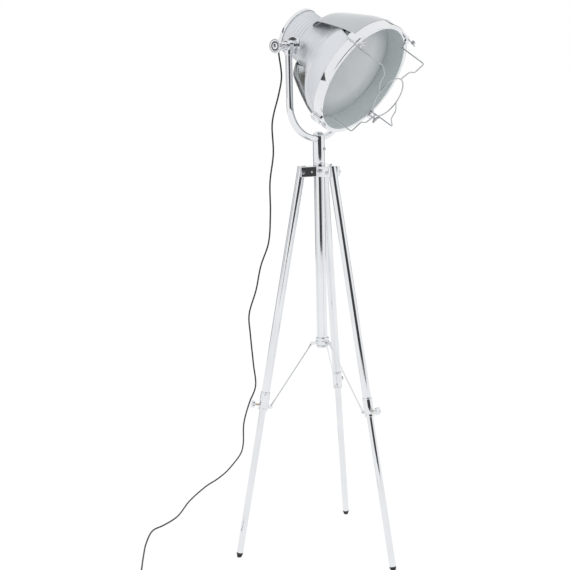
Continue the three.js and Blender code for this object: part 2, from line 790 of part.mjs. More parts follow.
function coilPoint(turn) {
  const fromMiddle = turn - coilTurns / 2;
  const radius = coil.innerRadius + coil.pitch * Math.hypot(fromMiddle, coil.ease);
  const climb = THREE.MathUtils.smoothstep(fromMiddle, -1 / 4, 1 / 4);
  const angle = coil.start + turn * fullTurn;
  return new THREE.Vector3(
    coil.x + radius * Math.cos(angle),
    coil.y + radius * Math.sin(angle),
    cordLie + coil.lift * climb
  );
}

function coilPoints() {
  const count = Math.round(coilTurns * coil.steps);
  const points = [];
  for (let i = 0; i <= count; i += 1) points.push(coilPoint(coilTurns * (i / count)));
  const first = points[0].clone().sub(points[1]).setZ(0).setLength(cord.diameter);
  const last = points[count].clone().sub(points[count - 1]).setZ(0).setLength(coil.tail);
  const end = points[count];
  const tail = [1 / 3, 2 / 3, 1].map((share) => end.clone().addScaledVector(last, share));
  return [points[0].clone().add(first), ...points, ...tail];
}

const loops = coilPoints();
const gapAhead = Math.round(coil.steps / 2);
let leastGap = Infinity;
loops.forEach((point, i) => {
  loops.slice(i + gapAhead).forEach((other) => {
    leastGap = Math.min(leastGap, point.distanceTo(other) - cord.diameter);
  });
});
console.log('least gap in the coil', leastGap.toFixed(2));

function coilShape() {
  const path = byPoints(loops);
  return tube(path, cord.diameter / 2, loops.length - 1, coil.sides);
}

const bootEnd = headPoint(-gland.end * Math.cos(gland.angle), gland.end * Math.sin(gland.angle));
const glandWay = bootEnd.clone().sub(new THREE.Vector3(0, 0, pivotHeight)).normalize();
const coilWay = loops[0].clone().sub(loops[1]).normalize();

const cordHand = [
  [-104.3, 77, 1545.8], [-110.3, 81.3, 1538.5], [-112.4, 83, 1528.5], [-112.2, 83, 1510], [-110, 82, 1490],
  [-107, 82, 1468], [-106, 86, 1435], [-117, 95, 1383], [-131, 102, 1335], [-138, 108, 1298],
  [-137, 122, 1211], [-150, 138, 1123], [-152, 155, 1027], [-161, 175, 930], [-188, 193, 854],
  [-206, 213, 774], [-232, 236, 689], [-231, 256, 619], [-226, 292, 510], [-223, 323, 428],
  [-247, 350, 363], [-270, 392, 281], [-279, 454, 185], [-290, 486, 142], [-321, 530, 88],
  [-356, 560, 42], [-388, 562, 17], [-414, 545, 6], [-438, 490, 3], [-467, 391, 2.8], [-494, 249, 2.8],
  [-530, 178, 2.8], [-557, 140, 2.8], [-566, 40, 2.8], [-560, -80, 2.8], [-552, -180, 2.8], [-550, -250, 2.8]
];

const cordRoute = [
  bootEnd.clone().addScaledVector(glandWay, fit),
  bootEnd.clone().addScaledVector(glandWay, cord.diameter),
  ...cordHand.map((point) => new THREE.Vector3(...point)),
  loops[0].clone().addScaledVector(coilWay, cord.diameter * 2),
  loops[0].clone().addScaledVector(coilWay, fit)
];

const cordPath = byPoints(cordRoute);

function cordShape() {
  const steps = (cordRoute.length - 1) * cord.stepsPerPoint;
  return tube(cordPath, cord.diameter / 2, steps, cord.sides);
}

const cordLength = cordPath.getLength() + byPoints(loops).getLength();
console.log('cord length', cordLength.toFixed(0));

function plugShape() {
  const profile = plugShares.map(([along, out]) => {
    const narrow = plug.neckWidth / plug.width;
    return [plug.length * along, (plug.width / 2) * (narrow + (1 - narrow) * (out * 2 - 1))];
  });
  const outline = [...profile, ...profile.slice().reverse().map(([x, y]) => [x, -y])];
  const face = new THREE.Shape(outline.map(([x, y]) => new THREE.Vector2(x, y)));
  const body = closed(new THREE.ExtrudeGeometry(face, { depth: plug.height, bevelEnabled: false }));
  const half = plug.pinSpacing / 2;
  const pins = [-half, half].map((offset) => {
    const reach = [plug.length - overrun, plug.length + plug.pinLength];
    return alongX(rod(plug.pinRadius, ...reach, smallSides)).translate(0, offset, plug.height / 2);
  });
  return join(body, ...pins);
}

// The scene graph

const lamp = new THREE.Group();

lamp.add(mesh('hub', hubShape(), finishes.chrome));
lamp.add(mesh('column_tube', columnShape(), finishes.chrome));
lamp.add(mesh('column_end_cap', endCapShape(), finishes.chrome));
lamp.add(mesh('spreader_collar', spreaderShape(), finishes.chrome));

legAzimuths.forEach((azimuth, i) => {
  const number = i + 1;
  const side = new THREE.Group();
  side.rotation.z = azimuth;
  lamp.add(side);

  const legBolt = mesh(`leg_bolt_${number}`, boltShape(), finishes.chrome);
  legBolt.position.set(hingeRadius, 0, hingeHeight);
  side.add(legBolt);

  const axis = new THREE.Group();
  axis.position.set(hingeRadius, 0, hingeHeight);
  axis.rotation.y = -legTilt;
  side.add(axis);
  axis.add(mesh(`leg_end_${number}`, legEndShape(), finishes.chrome));
  axis.add(mesh(`upper_leg_${number}`, upperLegShape(), finishes.chrome));
  axis.add(mesh(`leg_sleeve_${number}`, sleeveShape(), finishes.chrome));
  axis.add(mesh(`leg_thumbscrew_${number}`, thumbscrewShape(), finishes.chrome));
  axis.add(mesh(`lower_leg_${number}`, lowerLegShape(), finishes.chrome));
  axis.add(mesh(`foot_tip_${number}`, footTipShape(), finishes.rubber));

  const link = mesh(`strut_${number}`, strutShape(), finishes.chrome);
  link.position.copy(strutTop);
  link.rotation.y = -Math.atan2(strutFoot.x - strutTop.x, strutTop.z - strutFoot.z);
  side.add(link);
});

const pan = new THREE.Group();
pan.position.z = pivotHeight;
pan.rotation.z = panAngle;
lamp.add(pan);
pan.add(mesh('stem', stemShape(), finishes.chrome));
pan.add(mesh('stem_screw', stemScrewShape(), finishes.chrome));
pan.add(mesh('yoke_tube', yokeTubeShape(), finishes.chrome));
pan.add(mesh('yoke_eye_near', eyeShape(), finishes.chrome));
pan.add(mesh('yoke_eye_far', eyeShape().rotateZ(Math.PI), finishes.chrome));

const head = new THREE.Group();
head.rotation.x = -(quarterTurn + headDip);
pan.add(head);
head.add(mesh('neck_housing', neckShape(), finishes.enamel));
head.add(mesh('rear_cap', rearCapShape(), finishes.chrome));
head.add(mesh('bell', bellShape(), finishes.enamel));
head.add(mesh('front_ring', ringShape(), finishes.hood));
head.add(mesh('lens', lensShape(), finishes.glass));
head.add(mesh('reflector', reflectorShape(), finishes.reflector));
head.add(mesh('lamp_holder', holderShape(), finishes.porcelain));
head.add(mesh('bulb', bulbShape(), finishes.glass));
head.add(mesh('upper_shield', shieldShape(-1), finishes.chrome));
head.add(mesh('lower_shield', shieldShape(1), finishes.chrome));
head.add(mesh('wire_guard', guardShape(), finishes.chrome));
head.add(mesh('cord_gland', glandShape(), finishes.rubber));
head.add(mesh('pivot_stud_near', studShape(), finishes.chrome));
head.add(mesh('pivot_stud_far', studShape().rotateZ(Math.PI), finishes.chrome));
head.add(mesh('tilt_knob_near', knobShape(), finishes.chrome));
head.add(mesh('tilt_knob_far', knobShape().rotateZ(Math.PI), finishes.chrome));

clamp.angles.forEach((angle, i) => {
  const number = i + 1;
  head.add(mesh(`clamp_${number}`, clampShape().rotateZ(angle), finishes.chrome));
  head.add(mesh(`wing_nut_${number}`, wingShape().rotateZ(angle), finishes.chrome));
});

lamp.add(mesh('cord', cordShape(), finishes.rubber));
lamp.add(mesh('cord_coil', coilShape(), finishes.rubber));

const lastLoop = loops[loops.length - 1];
const plugWay = lastLoop.clone().sub(loops[loops.length - 2]).setZ(0).normalize();
const plugMesh = mesh('plug', plugShape(), finishes.rubber);
plugMesh.position.copy(lastLoop).addScaledVector(plugWay, fit).setZ(lastLoop.z - plug.height / 2);
plugMesh.rotation.z = Math.atan2(plugWay.y, plugWay.x);
lamp.add(plugMesh);

// The origin goes under the middle of the lamp's box, measured without the cord
const cordNames = ['cord', 'cord_coil', 'plug', 'cord_gland'];
lamp.updateMatrixWorld(true);
const body = new THREE.Box3();
lamp.traverse((piece) => {
  if (!piece.isMesh || cordNames.includes(piece.name)) return;
  body.union(new THREE.Box3().setFromObject(piece, true));
});
const middle = body.getCenter(new THREE.Vector3());
lamp.position.set(-middle.x, -middle.y, -body.min.z);
console.log('moved by', lamp.position.toArray().map((value) => value.toFixed(3)).join(' '));
console.log('height', (body.max.z - body.min.z).toFixed(1));

export default lamp;
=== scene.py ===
import math
import re

import bmesh
import bpy
from mathutils import Matrix, Vector


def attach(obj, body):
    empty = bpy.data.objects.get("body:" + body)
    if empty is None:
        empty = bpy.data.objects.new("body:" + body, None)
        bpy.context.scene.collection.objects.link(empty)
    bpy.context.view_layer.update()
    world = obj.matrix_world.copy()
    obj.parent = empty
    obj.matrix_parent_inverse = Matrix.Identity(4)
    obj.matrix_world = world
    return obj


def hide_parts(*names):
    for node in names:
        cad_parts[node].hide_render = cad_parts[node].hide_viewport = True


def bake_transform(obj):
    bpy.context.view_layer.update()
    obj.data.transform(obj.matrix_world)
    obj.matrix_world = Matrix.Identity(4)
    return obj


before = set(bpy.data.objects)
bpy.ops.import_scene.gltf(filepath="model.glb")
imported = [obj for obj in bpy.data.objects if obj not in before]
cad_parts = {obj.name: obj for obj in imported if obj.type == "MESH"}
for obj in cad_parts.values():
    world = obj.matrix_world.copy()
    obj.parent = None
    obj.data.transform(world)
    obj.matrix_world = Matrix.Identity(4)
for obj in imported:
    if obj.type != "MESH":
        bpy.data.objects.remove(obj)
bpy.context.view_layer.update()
print("frame: loaded with", len(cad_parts), "nodes")

# The lamp's own sizes are in millimetres and degrees, as on the drawing; the places below turn them into metres
fit = 0.3  # the gap between parts
tiny = 1e-6  # a shorter length counts as none
lamp = {
    "pivotHeight": 1530,
    "hingeHeight": 1167,
    "hingeRadius": 55,
    "footRadius": 276,
    "legAngles": (195.66, 315.66, 75.66),
    "panAngle": -126.4,
    "headDip": 31.35,
    "shift": (-12.335, -8.303, 0),
}
sides = {"fine": 96, "medium": 48, "wire": 12}

legTilt = math.atan((lamp["footRadius"] - lamp["hingeRadius"]) / lamp["hingeHeight"])
legLength = math.hypot(lamp["footRadius"] - lamp["hingeRadius"], lamp["hingeHeight"])


def turn(angle, axis):
    return Matrix.Rotation(math.radians(angle), 4, axis)


def move(x, y, z):
    return Matrix.Translation((x, y, z))


lampPlace = Matrix.Scale(0.001, 4) @ Matrix.Translation(lamp["shift"])
panPlace = lampPlace @ move(0, 0, lamp["pivotHeight"]) @ turn(lamp["panAngle"], "Z")
headPlace = panPlace @ turn(-90 - lamp["headDip"], "X")
sidePlaces = [lampPlace @ turn(angle, "Z") for angle in lamp["legAngles"]]
hingePlaces = [side @ move(lamp["hingeRadius"], 0, lamp["hingeHeight"]) for side in sidePlaces]
legPlaces = [place @ turn(-math.degrees(legTilt), "Y") for place in hingePlaces]
alongX = turn(90, "Y")
alongY = turn(-90, "X")


# Camera, fitted to the photograph; focal length and frame are in pixels, the clip in metres
view = {"x": -1.2, "distance": 3600, "height": 1525.2, "yaw": -1.697, "pitch": 10.939, "roll": -1.4}
view.update({"focal": 1228.68, "frame": 570, "clipEnd": 200})


def makeCamera():
    yaw, pitch, roll = (math.radians(view[key]) for key in ("yaw", "pitch", "roll"))
    forward = Vector((math.sin(yaw) * math.cos(pitch), math.cos(yaw) * math.cos(pitch), -math.sin(pitch)))
    right = Vector((math.cos(yaw), -math.sin(yaw), 0))
    up = right.cross(forward)
    rightTurned = math.cos(roll) * right + math.sin(roll) * up
    upTurned = math.cos(roll) * up - math.sin(roll) * right
    data = bpy.data.cameras.new("camera")
    data.sensor_fit = "HORIZONTAL"
    data.angle = 2 * math.atan(view["frame"] / 2 / view["focal"])
    data.clip_end = view["clipEnd"]
    camera = bpy.data.objects.new("camera", data)
    bpy.context.scene.collection.objects.link(camera)
    place = Matrix((rightTurned, upTurned, -forward)).transposed().to_4x4()
    place.translation = lampPlace @ Vector((view["x"], -view["distance"], view["height"]))
    camera.matrix_world = place
    bpy.context.scene.camera = camera


makeCamera()
print("camera: placed")


# A wire is a node's output that takes part in sums
class Wire:
    def __init__(self, graph, socket):
        self.graph = graph
        self.socket = socket

    def sum(self, operation, *values):
        return self.graph.node("ShaderNodeMath", {"operation": operation}, dict(enumerate(values)))

    def __add__(self, other):
        return self.sum("ADD", self, other)

    def __radd__(self, other):
        return self.sum("ADD", other, self)

    def __sub__(self, other):
        return self.sum("SUBTRACT", self, other)

    def __rsub__(self, other):
        return self.sum("SUBTRACT", other, self)

    def __mul__(self, other):
        return self.sum("MULTIPLY", self, other)

    def __rmul__(self, other):
        return self.sum("MULTIPLY", other, self)


class Graph:
    def __init__(self, owner):
        owner.use_nodes = True
        self.tree = owner.node_tree

    def node(self, kind, settings=None, inputs=None, output=0):
        made = self.tree.nodes.new(kind)
        for key, value in (settings or {}).items():
            setattr(made, key, value)
        for key, value in (inputs or {}).items():
            self.feed(made.inputs[key], value)
        return Wire(self, made.outputs[output])

    def feed(self, socket, value):
        if isinstance(value, Wire):
            self.tree.links.new(value.socket, socket)
        else:
            socket.default_value = value

    def drop(self, name):
        self.tree.nodes.remove(self.tree.nodes[name])


# Each noise: its scale, in turns per metre, and its detail
noises = {
    "smears": (9, 4), "rubs": (420, 2), "waves": (55, 2), "cloud": (7, 4), "grime": (34, 6),
    "paintGrain": (750, 2), "dust": (60, 5), "wear": (25, 3), "rubberGrain": (1400, 3), "sheathGrain": (900, 3),
    "turning": (300, 3), "tarnish": (40, 4), "frost": (900, 3), "glassCloud": (11, 3), "reflectionPatches": (5, 3),
    "plateWaves": (60, 2),
}


class Finish(Graph):
    def __init__(self, name, **fixed):
        self.material = bpy.data.materials.new(name)
        super().__init__(self.material)
        self.shader = self.tree.nodes["Principled BSDF"]
        self.set(**fixed)

    def set(self, **values):
        for key, value in values.items():
            name = re.sub("(?<=[a-z])(?=[A-Z])|(?<=[A-Z])(?=[A-Z][a-z])", " ", key)
            socket = self.shader.inputs[name[0].upper() + name[1:]]
            self.feed(socket, (*value, 1) if isinstance(value, tuple) else value)

    def noise(self, word, stretch=None):
        source = self.node("ShaderNodeTexCoord", output="Object")
        if stretch:
            source = self.node("ShaderNodeMapping", {}, {"Vector": source, "Scale": stretch})
        scale, detail = noises[word]
        settings = {"noise_dimensions": "3D"}
        return self.node("ShaderNodeTexNoise", settings, {"Vector": source, "Scale": scale, "Detail": detail})

    def span(self, wire, low, high, outLow=0.0, outHigh=1.0):
        inputs = {0: wire, 1: low, 2: high, 3: outLow, 4: outHigh}
        return self.node("ShaderNodeMapRange", {"interpolation_type": "SMOOTHSTEP"}, inputs)

    # The colours of a Mix node are its sockets 6 and 7, and its output 2
    def blend(self, share, first, second):
        first = first if isinstance(first, Wire) else (*first, 1)
        second = second if isinstance(second, Wire) else (*second, 1)
        return self.node("ShaderNodeMix", {"data_type": "RGBA"}, {0: share, 6: first, 7: second}, 2)

    def bump(self, height, strength, distance):
        inputs = {"Height": height, "Strength": strength, "Distance": distance}
        self.set(normal=self.node("ShaderNodeBump", {}, inputs))
        return self


def rgb(red, green, blue):  # from screen numbers to light
    shares = (value / 255 for value in (red, green, blue))
    return tuple(share / 12.92 if share < 0.04045 else ((share + 0.055) / 1.055) ** 2.4 for share in shares)


def darker(tone, share):
    return tuple(share * part for part in tone)


def chromeFinish(name, tone, haze=0.07, grain=(1, 1, 1)):
    finish = Finish(name, metallic=1.0)
    smears = finish.noise("smears")
    rubs = finish.noise("rubs", grain)
    finish.set(roughness=finish.span(smears, 0.35, 0.75, haze * 0.55, haze * 1.5) + rubs * (haze * 0.35))
    finish.set(baseColor=finish.blend(finish.span(smears, 0.3, 0.7), tone, darker(tone, 0.955)))
    return finish.bump(finish.noise("waves", grain), 0.035, 0.0004)


def paintFinish(name, tone, worn, gloss=0.32, coat=0.25):
    finish = Finish(name, coatRoughness=0.12, coatWeight=coat)
    cloud = finish.noise("cloud")
    grime = finish.span(finish.noise("grime"), 0.58, 0.8)
    shade = finish.blend(finish.span(cloud, 0.3, 0.7), tone, darker(tone, 0.972))
    finish.set(baseColor=finish.blend(grime * 0.25, shade, worn))
    finish.set(roughness=finish.span(cloud, 0.3, 0.75, gloss * 0.85, gloss * 1.2) + grime * 0.08)
    return finish.bump(finish.noise("paintGrain"), 0.06, 0.0002)


def rubberFinish(name, tone, rough=0.55, grain="rubberGrain"):
    finish = Finish(name, specularIORLevel=0.4)
    dust = finish.span(finish.noise("dust"), 0.52, 0.8)
    finish.set(baseColor=finish.blend(dust * 0.35, tone, tuple(part * 2.4 + 0.01 for part in tone)))
    finish.set(roughness=finish.span(finish.noise("wear"), 0.3, 0.7, rough - 0.1, rough + 0.1))
    return finish.bump(finish.noise(grain), 0.25, 0.0002)


def steelFinish(name, tone, haze=0.2):
    finish = Finish(name, metallic=1.0)
    rings = finish.noise("turning", (1, 1, 5))
    finish.set(roughness=finish.span(rings, 0.3, 0.7, haze * 0.7, haze * 1.5))
    finish.set(baseColor=finish.blend(finish.span(finish.noise("tarnish"), 0.4, 0.75), tone, darker(tone, 0.8)))
    return finish.bump(rings, 0.08, 0.0002)


def glassFinish():
    finish = Finish("frostedGlass", transmissionWeight=0.12, IOR=1.48, coatWeight=0.6, coatRoughness=0.18)
    frost = finish.noise("frost")
    cloud = finish.noise("glassCloud")
    finish.set(baseColor=finish.blend(finish.span(cloud, 0.3, 0.7), rgb(205, 210, 213), rgb(214, 218, 221)))
    finish.set(roughness=finish.span(cloud, 0.3, 0.7, 0.34, 0.44))
    return finish.bump(frost, 0.12, 0.0003)


# The two shields are plated; a few cream, non-metallic spots on them are painted reflections of the pale room
def shieldFinish():
    finish = Finish("platedShield")
    smears = finish.noise("smears")
    # painted reflection: this mask swaps the plating for flat cream colour that stands in for mirrored
    # surroundings
    paintedReflection = finish.span(finish.noise("reflectionPatches"), 0.55, 0.61)
    finish.set(metallic=1 - paintedReflection)
    finish.set(baseColor=finish.blend(paintedReflection, (0.52, 0.545, 0.56), rgb(214, 214, 203)))
    finish.set(roughness=paintedReflection * 0.3 + finish.span(smears, 0.3, 0.7, 0.05, 0.11))
    return finish.bump(finish.noise("plateWaves"), 0.04, 0.0004)


finishes = {
    "chrome": chromeFinish("polishedChrome", (0.80, 0.815, 0.835)),
    "tube": chromeFinish("drawnChromeTube", (0.80, 0.815, 0.835), 0.08, (1, 1, 0.08)),
    "wire": chromeFinish("platedWire", (0.5, 0.515, 0.53), 0.12),
    "steel": steelFinish("turnedSteel", (0.66, 0.67, 0.68)),
    "brass": steelFinish("palebrass", (0.66, 0.58, 0.42)),
    "enamel": paintFinish("whiteEnamel", rgb(228, 231, 235), rgb(204, 206, 204)),
    "hood": paintFinish("greyGreenEnamel", rgb(206, 214, 214), rgb(188, 196, 194), 0.4, 0.1),
    "rubber": rubberFinish("blackRubber", (0.018, 0.018, 0.021)),
    "cord": rubberFinish("blackCordSheath", (0.014, 0.014, 0.016), 0.42, "sheathGrain"),
    "glass": glassFinish(),
    "bulb": paintFinish("opalBulb", rgb(236, 236, 232), rgb(222, 221, 215), 0.2, 0.6),
    "reflector": steelFinish("spunAluminium", (0.84, 0.85, 0.86), 0.24),
    "porcelain": paintFinish("glazedPorcelain", rgb(238, 235, 228), rgb(214, 209, 198), 0.18, 0.8),
    "shield": shieldFinish(),
}
print("finishes:", len(finishes))


# Shapes are (points, faces) in millimetres, each closed
def loft(rings, loop=False):
    count = len(rings[0])
    points = [point for ring in rings for point in ring]
    faces = []
    spans = len(rings) if loop else len(rings) - 1
    for i in range(spans):
        low, high = i * count, (i + 1) % len(rings) * count
        for k in range(count):
            after = (k + 1) % count
            faces.append((low + k, low + after, high + after, high + k))
    if not loop:
        faces.append(tuple(range(count))[::-1])
        faces.append(tuple(range(len(points) - count, len(points))))
    return points, faces


# A profile with its corners rounded, apart from nearly straight ones
def eased(line, reach=0.6, steps=3):
    loop = line[0][0] > tiny  # off the axis a profile closes on itself
    nearlyStraight = math.radians(160)
    result = []
    for i, here in enumerate(line):
        point = Vector(here)
        back = Vector(line[i - 1]) - point
        ahead = Vector(line[(i + 1) % len(line)]) - point
        openEnd = not loop and i in (0, len(line) - 1)
        if openEnd or min(back.length, ahead.length) < tiny or back.angle(ahead) > nearlyStraight:
            result.append(tuple(point))
            continue
        cut = min(reach, back.length / 2.1, ahead.length / 2.1)
        start, end = point + back.normalized() * cut, point + ahead.normalized() * cut
        for step in range(steps + 1):
            share = step / steps
            result.append(tuple(start.lerp(point, share).lerp(point.lerp(end, share), share)))
    return result


# A turned groove in a profile: in over a slope, along its floor and out again
def cutGroove(radius, low, high, depth, slope):
    return [(radius, low), (radius - depth, low + slope), (radius - depth, high - slope), (radius, high)]


def turned(profile, count=48, reach=0.6, sector=None):
    line = eased(profile, reach) if reach else profile
    start, end = sector or (0, 360)
    steps = count if sector is None else count + 1
    rings = []
    for step in range(steps):
        angle = start + (end - start) * step / count
        rings.append([around(radius, angle, height) for radius, height in line])
    return loft(rings, sector is None)


def around(radius, angle, height):
    way = math.radians(angle)
    return radius * math.cos(way), radius * math.sin(way), height


def rod(radius, low, high, count=24, reach=0.5):
    return turned([(0, low), (radius, low), (radius, high), (0, high)], count, reach)


def pipe(outer, inner, low, high, count=48, reach=0.3):
    return turned([(inner, low), (outer, low), (outer, high), (inner, high)], count, reach)


def prism(outline, low, high):
    return loft([[(x, y, height) for x, y in outline] for height in (low, high)])


def block(x, y, z):
    return prism([(x[0], y[0]), (x[1], y[0]), (x[1], y[1]), (x[0], y[1])], *z)


def moved(shape, *places):
    place = Matrix.Identity(4)
    for part in places:
        place = place @ part
    return [tuple(place @ Vector(point)) for point in shape[0]], shape[1]


def joined(*shapes):
    points, faces = [], []
    for shapePoints, shapeFaces in shapes:
        start = len(points)
        points.extend(shapePoints)
        faces.extend(tuple(start + index for index in face) for face in shapeFaces)
    return points, faces


# A smooth line through points, closest together where the points are
def smoothLine(points, perSpan=6, loop=False):
    spots = [Vector(point) for point in points]
    if loop:
        spots = [spots[-1], *spots, spots[0], spots[1]]
    else:
        spots = [spots[0] * 2 - spots[1], *spots, spots[-1] * 2 - spots[-2]]
    line = []
    for i in range(1, len(spots) - 2):
        four = spots[i - 1 : i + 3]
        knots = [0.0]
        for first, second in zip(four, four[1:]):
            knots.append(knots[-1] + max((second - first).length, tiny) ** 0.5)
        for step in range(perSpan):
            line.append(onCurve(four, knots, knots[1] + (knots[2] - knots[1]) * step / perSpan))
    return line if loop else [*line, spots[-2]]


def onCurve(spots, knots, at):
    level = list(spots)
    for gap in (1, 2, 3):
        for i in range(4 - gap):
            low, high = (knots[1], knots[2]) if gap == 3 else (knots[i], knots[i + gap])
            share = (at - low) / (high - low)
            level[i] = level[i].lerp(level[i + 1], share)
    return level[0]


def sweep(line, radius, count=12, loop=False):
    spots = [Vector(point) for point in line]
    radii = radius if isinstance(radius, list) else [radius] * len(spots)
    ways = []
    for i in range(len(spots)):
        before = spots[i - 1] if loop or i else spots[0]
        after = spots[(i + 1) % len(spots)] if loop or i < len(spots) - 1 else spots[-1]
        ways.append((after - before).normalized())
    side = ways[0].orthogonal().normalized()
    rings = []
    for spot, way, size in zip(spots, ways, radii):
        side = (side - way * side.dot(way)).normalized()
        other = way.cross(side)
        angles = [2 * math.pi * k / count for k in range(count)]
        rings.append([tuple(spot + (side * math.cos(a) + other * math.sin(a)) * size) for a in angles])
    return loft(rings, loop)


def between(start, end, shares):
    wide, tall = end[0] - start[0], end[1] - start[1]
    return [(start[0] + wide * out, start[1] + tall * along) for along, out in shares]


# The same line of a profile, moved square to itself towards the inside
def inward(line, wall):
    result = []
    for i, (radius, height) in enumerate(line):
        before, after = line[max(i - 1, 0)], line[min(i + 1, len(line) - 1)]
        way = (Vector(after) - Vector(before)).normalized()
        result.append((radius - wall * way.y, height + wall * way.x))
    return result


def shell(line, wall):
    inside = inward(line, wall)
    inside[0] = (inside[0][0], line[0][1])
    inside[-1] = (inside[-1][0], line[-1][1])
    return [*line, *inside[::-1]]


mergeWithin = {"metres": 1e-6, "millimetres": 1e-3}  # points this close become one


def meshOf(name, shape, place=None):
    data = bpy.data.meshes.new(name)
    points = [place @ Vector(point) for point in shape[0]] if place else shape[0]
    data.from_pydata([tuple(point) for point in points], [], shape[1])
    work = bmesh.new()
    work.from_mesh(data)
    bmesh.ops.remove_doubles(work, verts=work.verts, dist=mergeWithin["metres" if place else "millimetres"])
    bmesh.ops.recalc_face_normals(work, faces=work.faces)
    work.to_mesh(data)
    work.free()
    return data


def linked(name, data):
    made = bpy.data.objects.new(name, data)
    bpy.context.scene.collection.objects.link(made)
    return made


# The first shape with the others joined to it or cut from it
def combined(operation, *shapes):
    helpers = [linked("helper", meshOf("helper", shape)) for shape in shapes]
    target = helpers[0]
    for helper in helpers[1:]:
        change = target.modifiers.new("change", "BOOLEAN")
        change.operation, change.object, change.solver = operation, helper, "EXACT"
    bpy.context.view_layer.update()
    result = target.evaluated_get(bpy.context.evaluated_depsgraph_get()).data
    points = [tuple(vertex.co) for vertex in result.vertices]
    faces = [tuple(face.vertices) for face in result.polygons]
    for helper in helpers:
        bpy.data.objects.remove(helper)
    return points, faces


def carved(shape, *tools):
    return combined("DIFFERENCE", shape, *tools)


# One piece of the lamp: its mesh, finish and body, and the CAD nodes that it stands for
def makePiece(name, shape, place, finish, body, nodes=(), slot=None, bevel=0, sharp=32):
    data = meshOf(name, shape, place)
    piece = linked(name, data)
    data.materials.append(finishes[finish].material)
    if bevel:
        change = piece.modifiers.new("bevel", "BEVEL")
        change.width, change.segments, change.limit_method = bevel / 1000, 2, "ANGLE"
        change.angle_limit = math.radians(sharp)
        change.harden_normals = False
    data.shade_smooth()
    data.set_sharp_from_angle(angle=math.radians(sharp))
    if body:
        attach(piece, body)
    if nodes:
        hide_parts(*nodes)
    return piece


def headPiece(name, shape, finish, *nodes, **more):
    return makePiece(name, shape, headPlace, finish, "head", nodes, **more)


# Cord first: its route is the same as in the drawing
cord = {"diameter": 5, "sides": 14, "perPoint": 6, "blendEnd": (-138, 108, 1298)}
gland = {"angle": 22.4, "seat": 86, "flangeRadius": 8.5, "flangeEnd": 93, "bootRadius": 6, "end": 112}
gland.update({"grip": 6, "root": 4, "ribs": 5, "ribPitch": 3.4, "ribTaper": 0.55})
coil = {"layers": 2, "turnsPerLayer": 2, "pitch": 5.7, "innerRadius": 24.6, "lift": 5.6, "steps": 24}
coil.update({"x": -514, "y": -305, "start": 180, "ease": 1 / 8, "tail": 36})
cord["hand"] = [
    (-104.3, 77, 1545.8), (-110.3, 81.3, 1538.5), (-112.4, 83, 1528.5), (-112.2, 83, 1510), (-110, 82, 1490),
    (-107, 82, 1468), (-106, 86, 1435), (-117, 95, 1383), (-131, 102, 1335), (-138, 108, 1298),
    (-137, 122, 1211), (-150, 138, 1123), (-152, 155, 1027), (-161, 175, 930), (-188, 193, 854),
    (-206, 213, 774), (-232, 236, 689), (-231, 256, 619), (-226, 292, 510), (-223, 323, 428),
    (-247, 350, 363), (-270, 392, 281), (-279, 454, 185), (-290, 486, 142), (-321, 530, 88),
    (-356, 560, 42), (-388, 562, 17), (-414, 545, 6), (-438, 490, 3), (-467, 391, 2.8), (-494, 249, 2.8),
    (-530, 178, 2.8), (-557, 140, 2.8), (-566, 40, 2.8), (-560, -80, 2.8), (-552, -180, 2.8),
    (-550, -250, 2.8),
]


def coilPoint(atTurn, turns):
    fromMiddle = atTurn - turns / 2
    radius = coil["innerRadius"] + coil["pitch"] * math.hypot(fromMiddle, coil["ease"])
    share = min(max(fromMiddle * 2 + 0.5, 0), 1)
    climb = share * share * (3 - 2 * share)
    angle = math.radians(coil["start"]) + atTurn * 2 * math.pi
    lie = cord["diameter"] / 2 + fit
    across = Vector((math.cos(angle), math.sin(angle), 0)) * radius
    return Vector((coil["x"], coil["y"], lie + coil["lift"] * climb)) + across


def coilLine():
    turns = coil["layers"] * coil["turnsPerLayer"] + 1 / 2
    count = round(turns * coil["steps"])
    points = [coilPoint(turns * i / count, turns) for i in range(count + 1)]
    last = (points[-1] - points[-2]).normalized() * coil["tail"]
    return [*points, *(points[-1] + last * share for share in (1 / 3, 2 / 3, 1))]


def makeCord():
    loops = coilLine()
    toHead = lampPlace.inverted() @ headPlace
    angle = math.radians(gland["angle"])
    bootEnd = toHead @ Vector((0, gland["end"] * math.sin(angle), -gland["end"] * math.cos(angle)))
    way = (bootEnd - Vector((0, 0, lamp["pivotHeight"]))).normalized()
    route = [bootEnd, bootEnd + way * cord["diameter"], *(Vector(point) for point in cord["hand"])]
    line = [*smoothLine([*route, loops[0]], cord["perPoint"]), *smoothLine(loops, 1)[1:]]
    line[0] = bootEnd - way * gland["grip"]  # the boot grips the first millimetres
    shape = sweep(line, cord["diameter"] / 2, cord["sides"])
    piece = makePiece("powerCord", shape, lampPlace, "cord", None, ("cord", "cord_coil"), sharp=70)
    path = [lampPlace @ point for point in line]
    lampPlace @ bootEnd
    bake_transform(piece)
    return piece, path, loops


cordPiece, cordPath, cordLoops = makeCord()
cordLength = sum((after - before).length for before, after in zip(cordPath, cordPath[1:]))
print("cord: routed,", round(cordLength, 3), "m")


plug = {"height": 16.8, "width": 26, "length": 38, "pinRadius": 2, "pinLength": 19, "pinSpacing": 19}
plug.update({"ribs": (1.5, 4.2, 6.9, 9.6), "ribRadius": 6.1, "ribFoot": 4.2, "sheath": 0.55, "bare": 0.5})
plug["outline"] = [
    (0, 0.42, 0.5), (3, 0.5, 0.62), (9, 0.52, 0.7), (13, 0.6, 0.82), (19, 1, 1), (34, 1, 1), (37, 0.96, 0.93),
    (plug["length"], 0.9, 0.84),
]


def roundedRing(x, halfWidth, halfHeight, count=28, power=3.2):
    ring = []
    for k in range(count):
        angle = 2 * math.pi * (k + 0.5) / count
        reach = (abs(math.cos(angle)) ** power + abs(math.sin(angle)) ** power) ** (-1 / power)
        ring.append((x, halfWidth * reach * math.cos(angle), halfHeight * reach * math.sin(angle)))
    return ring


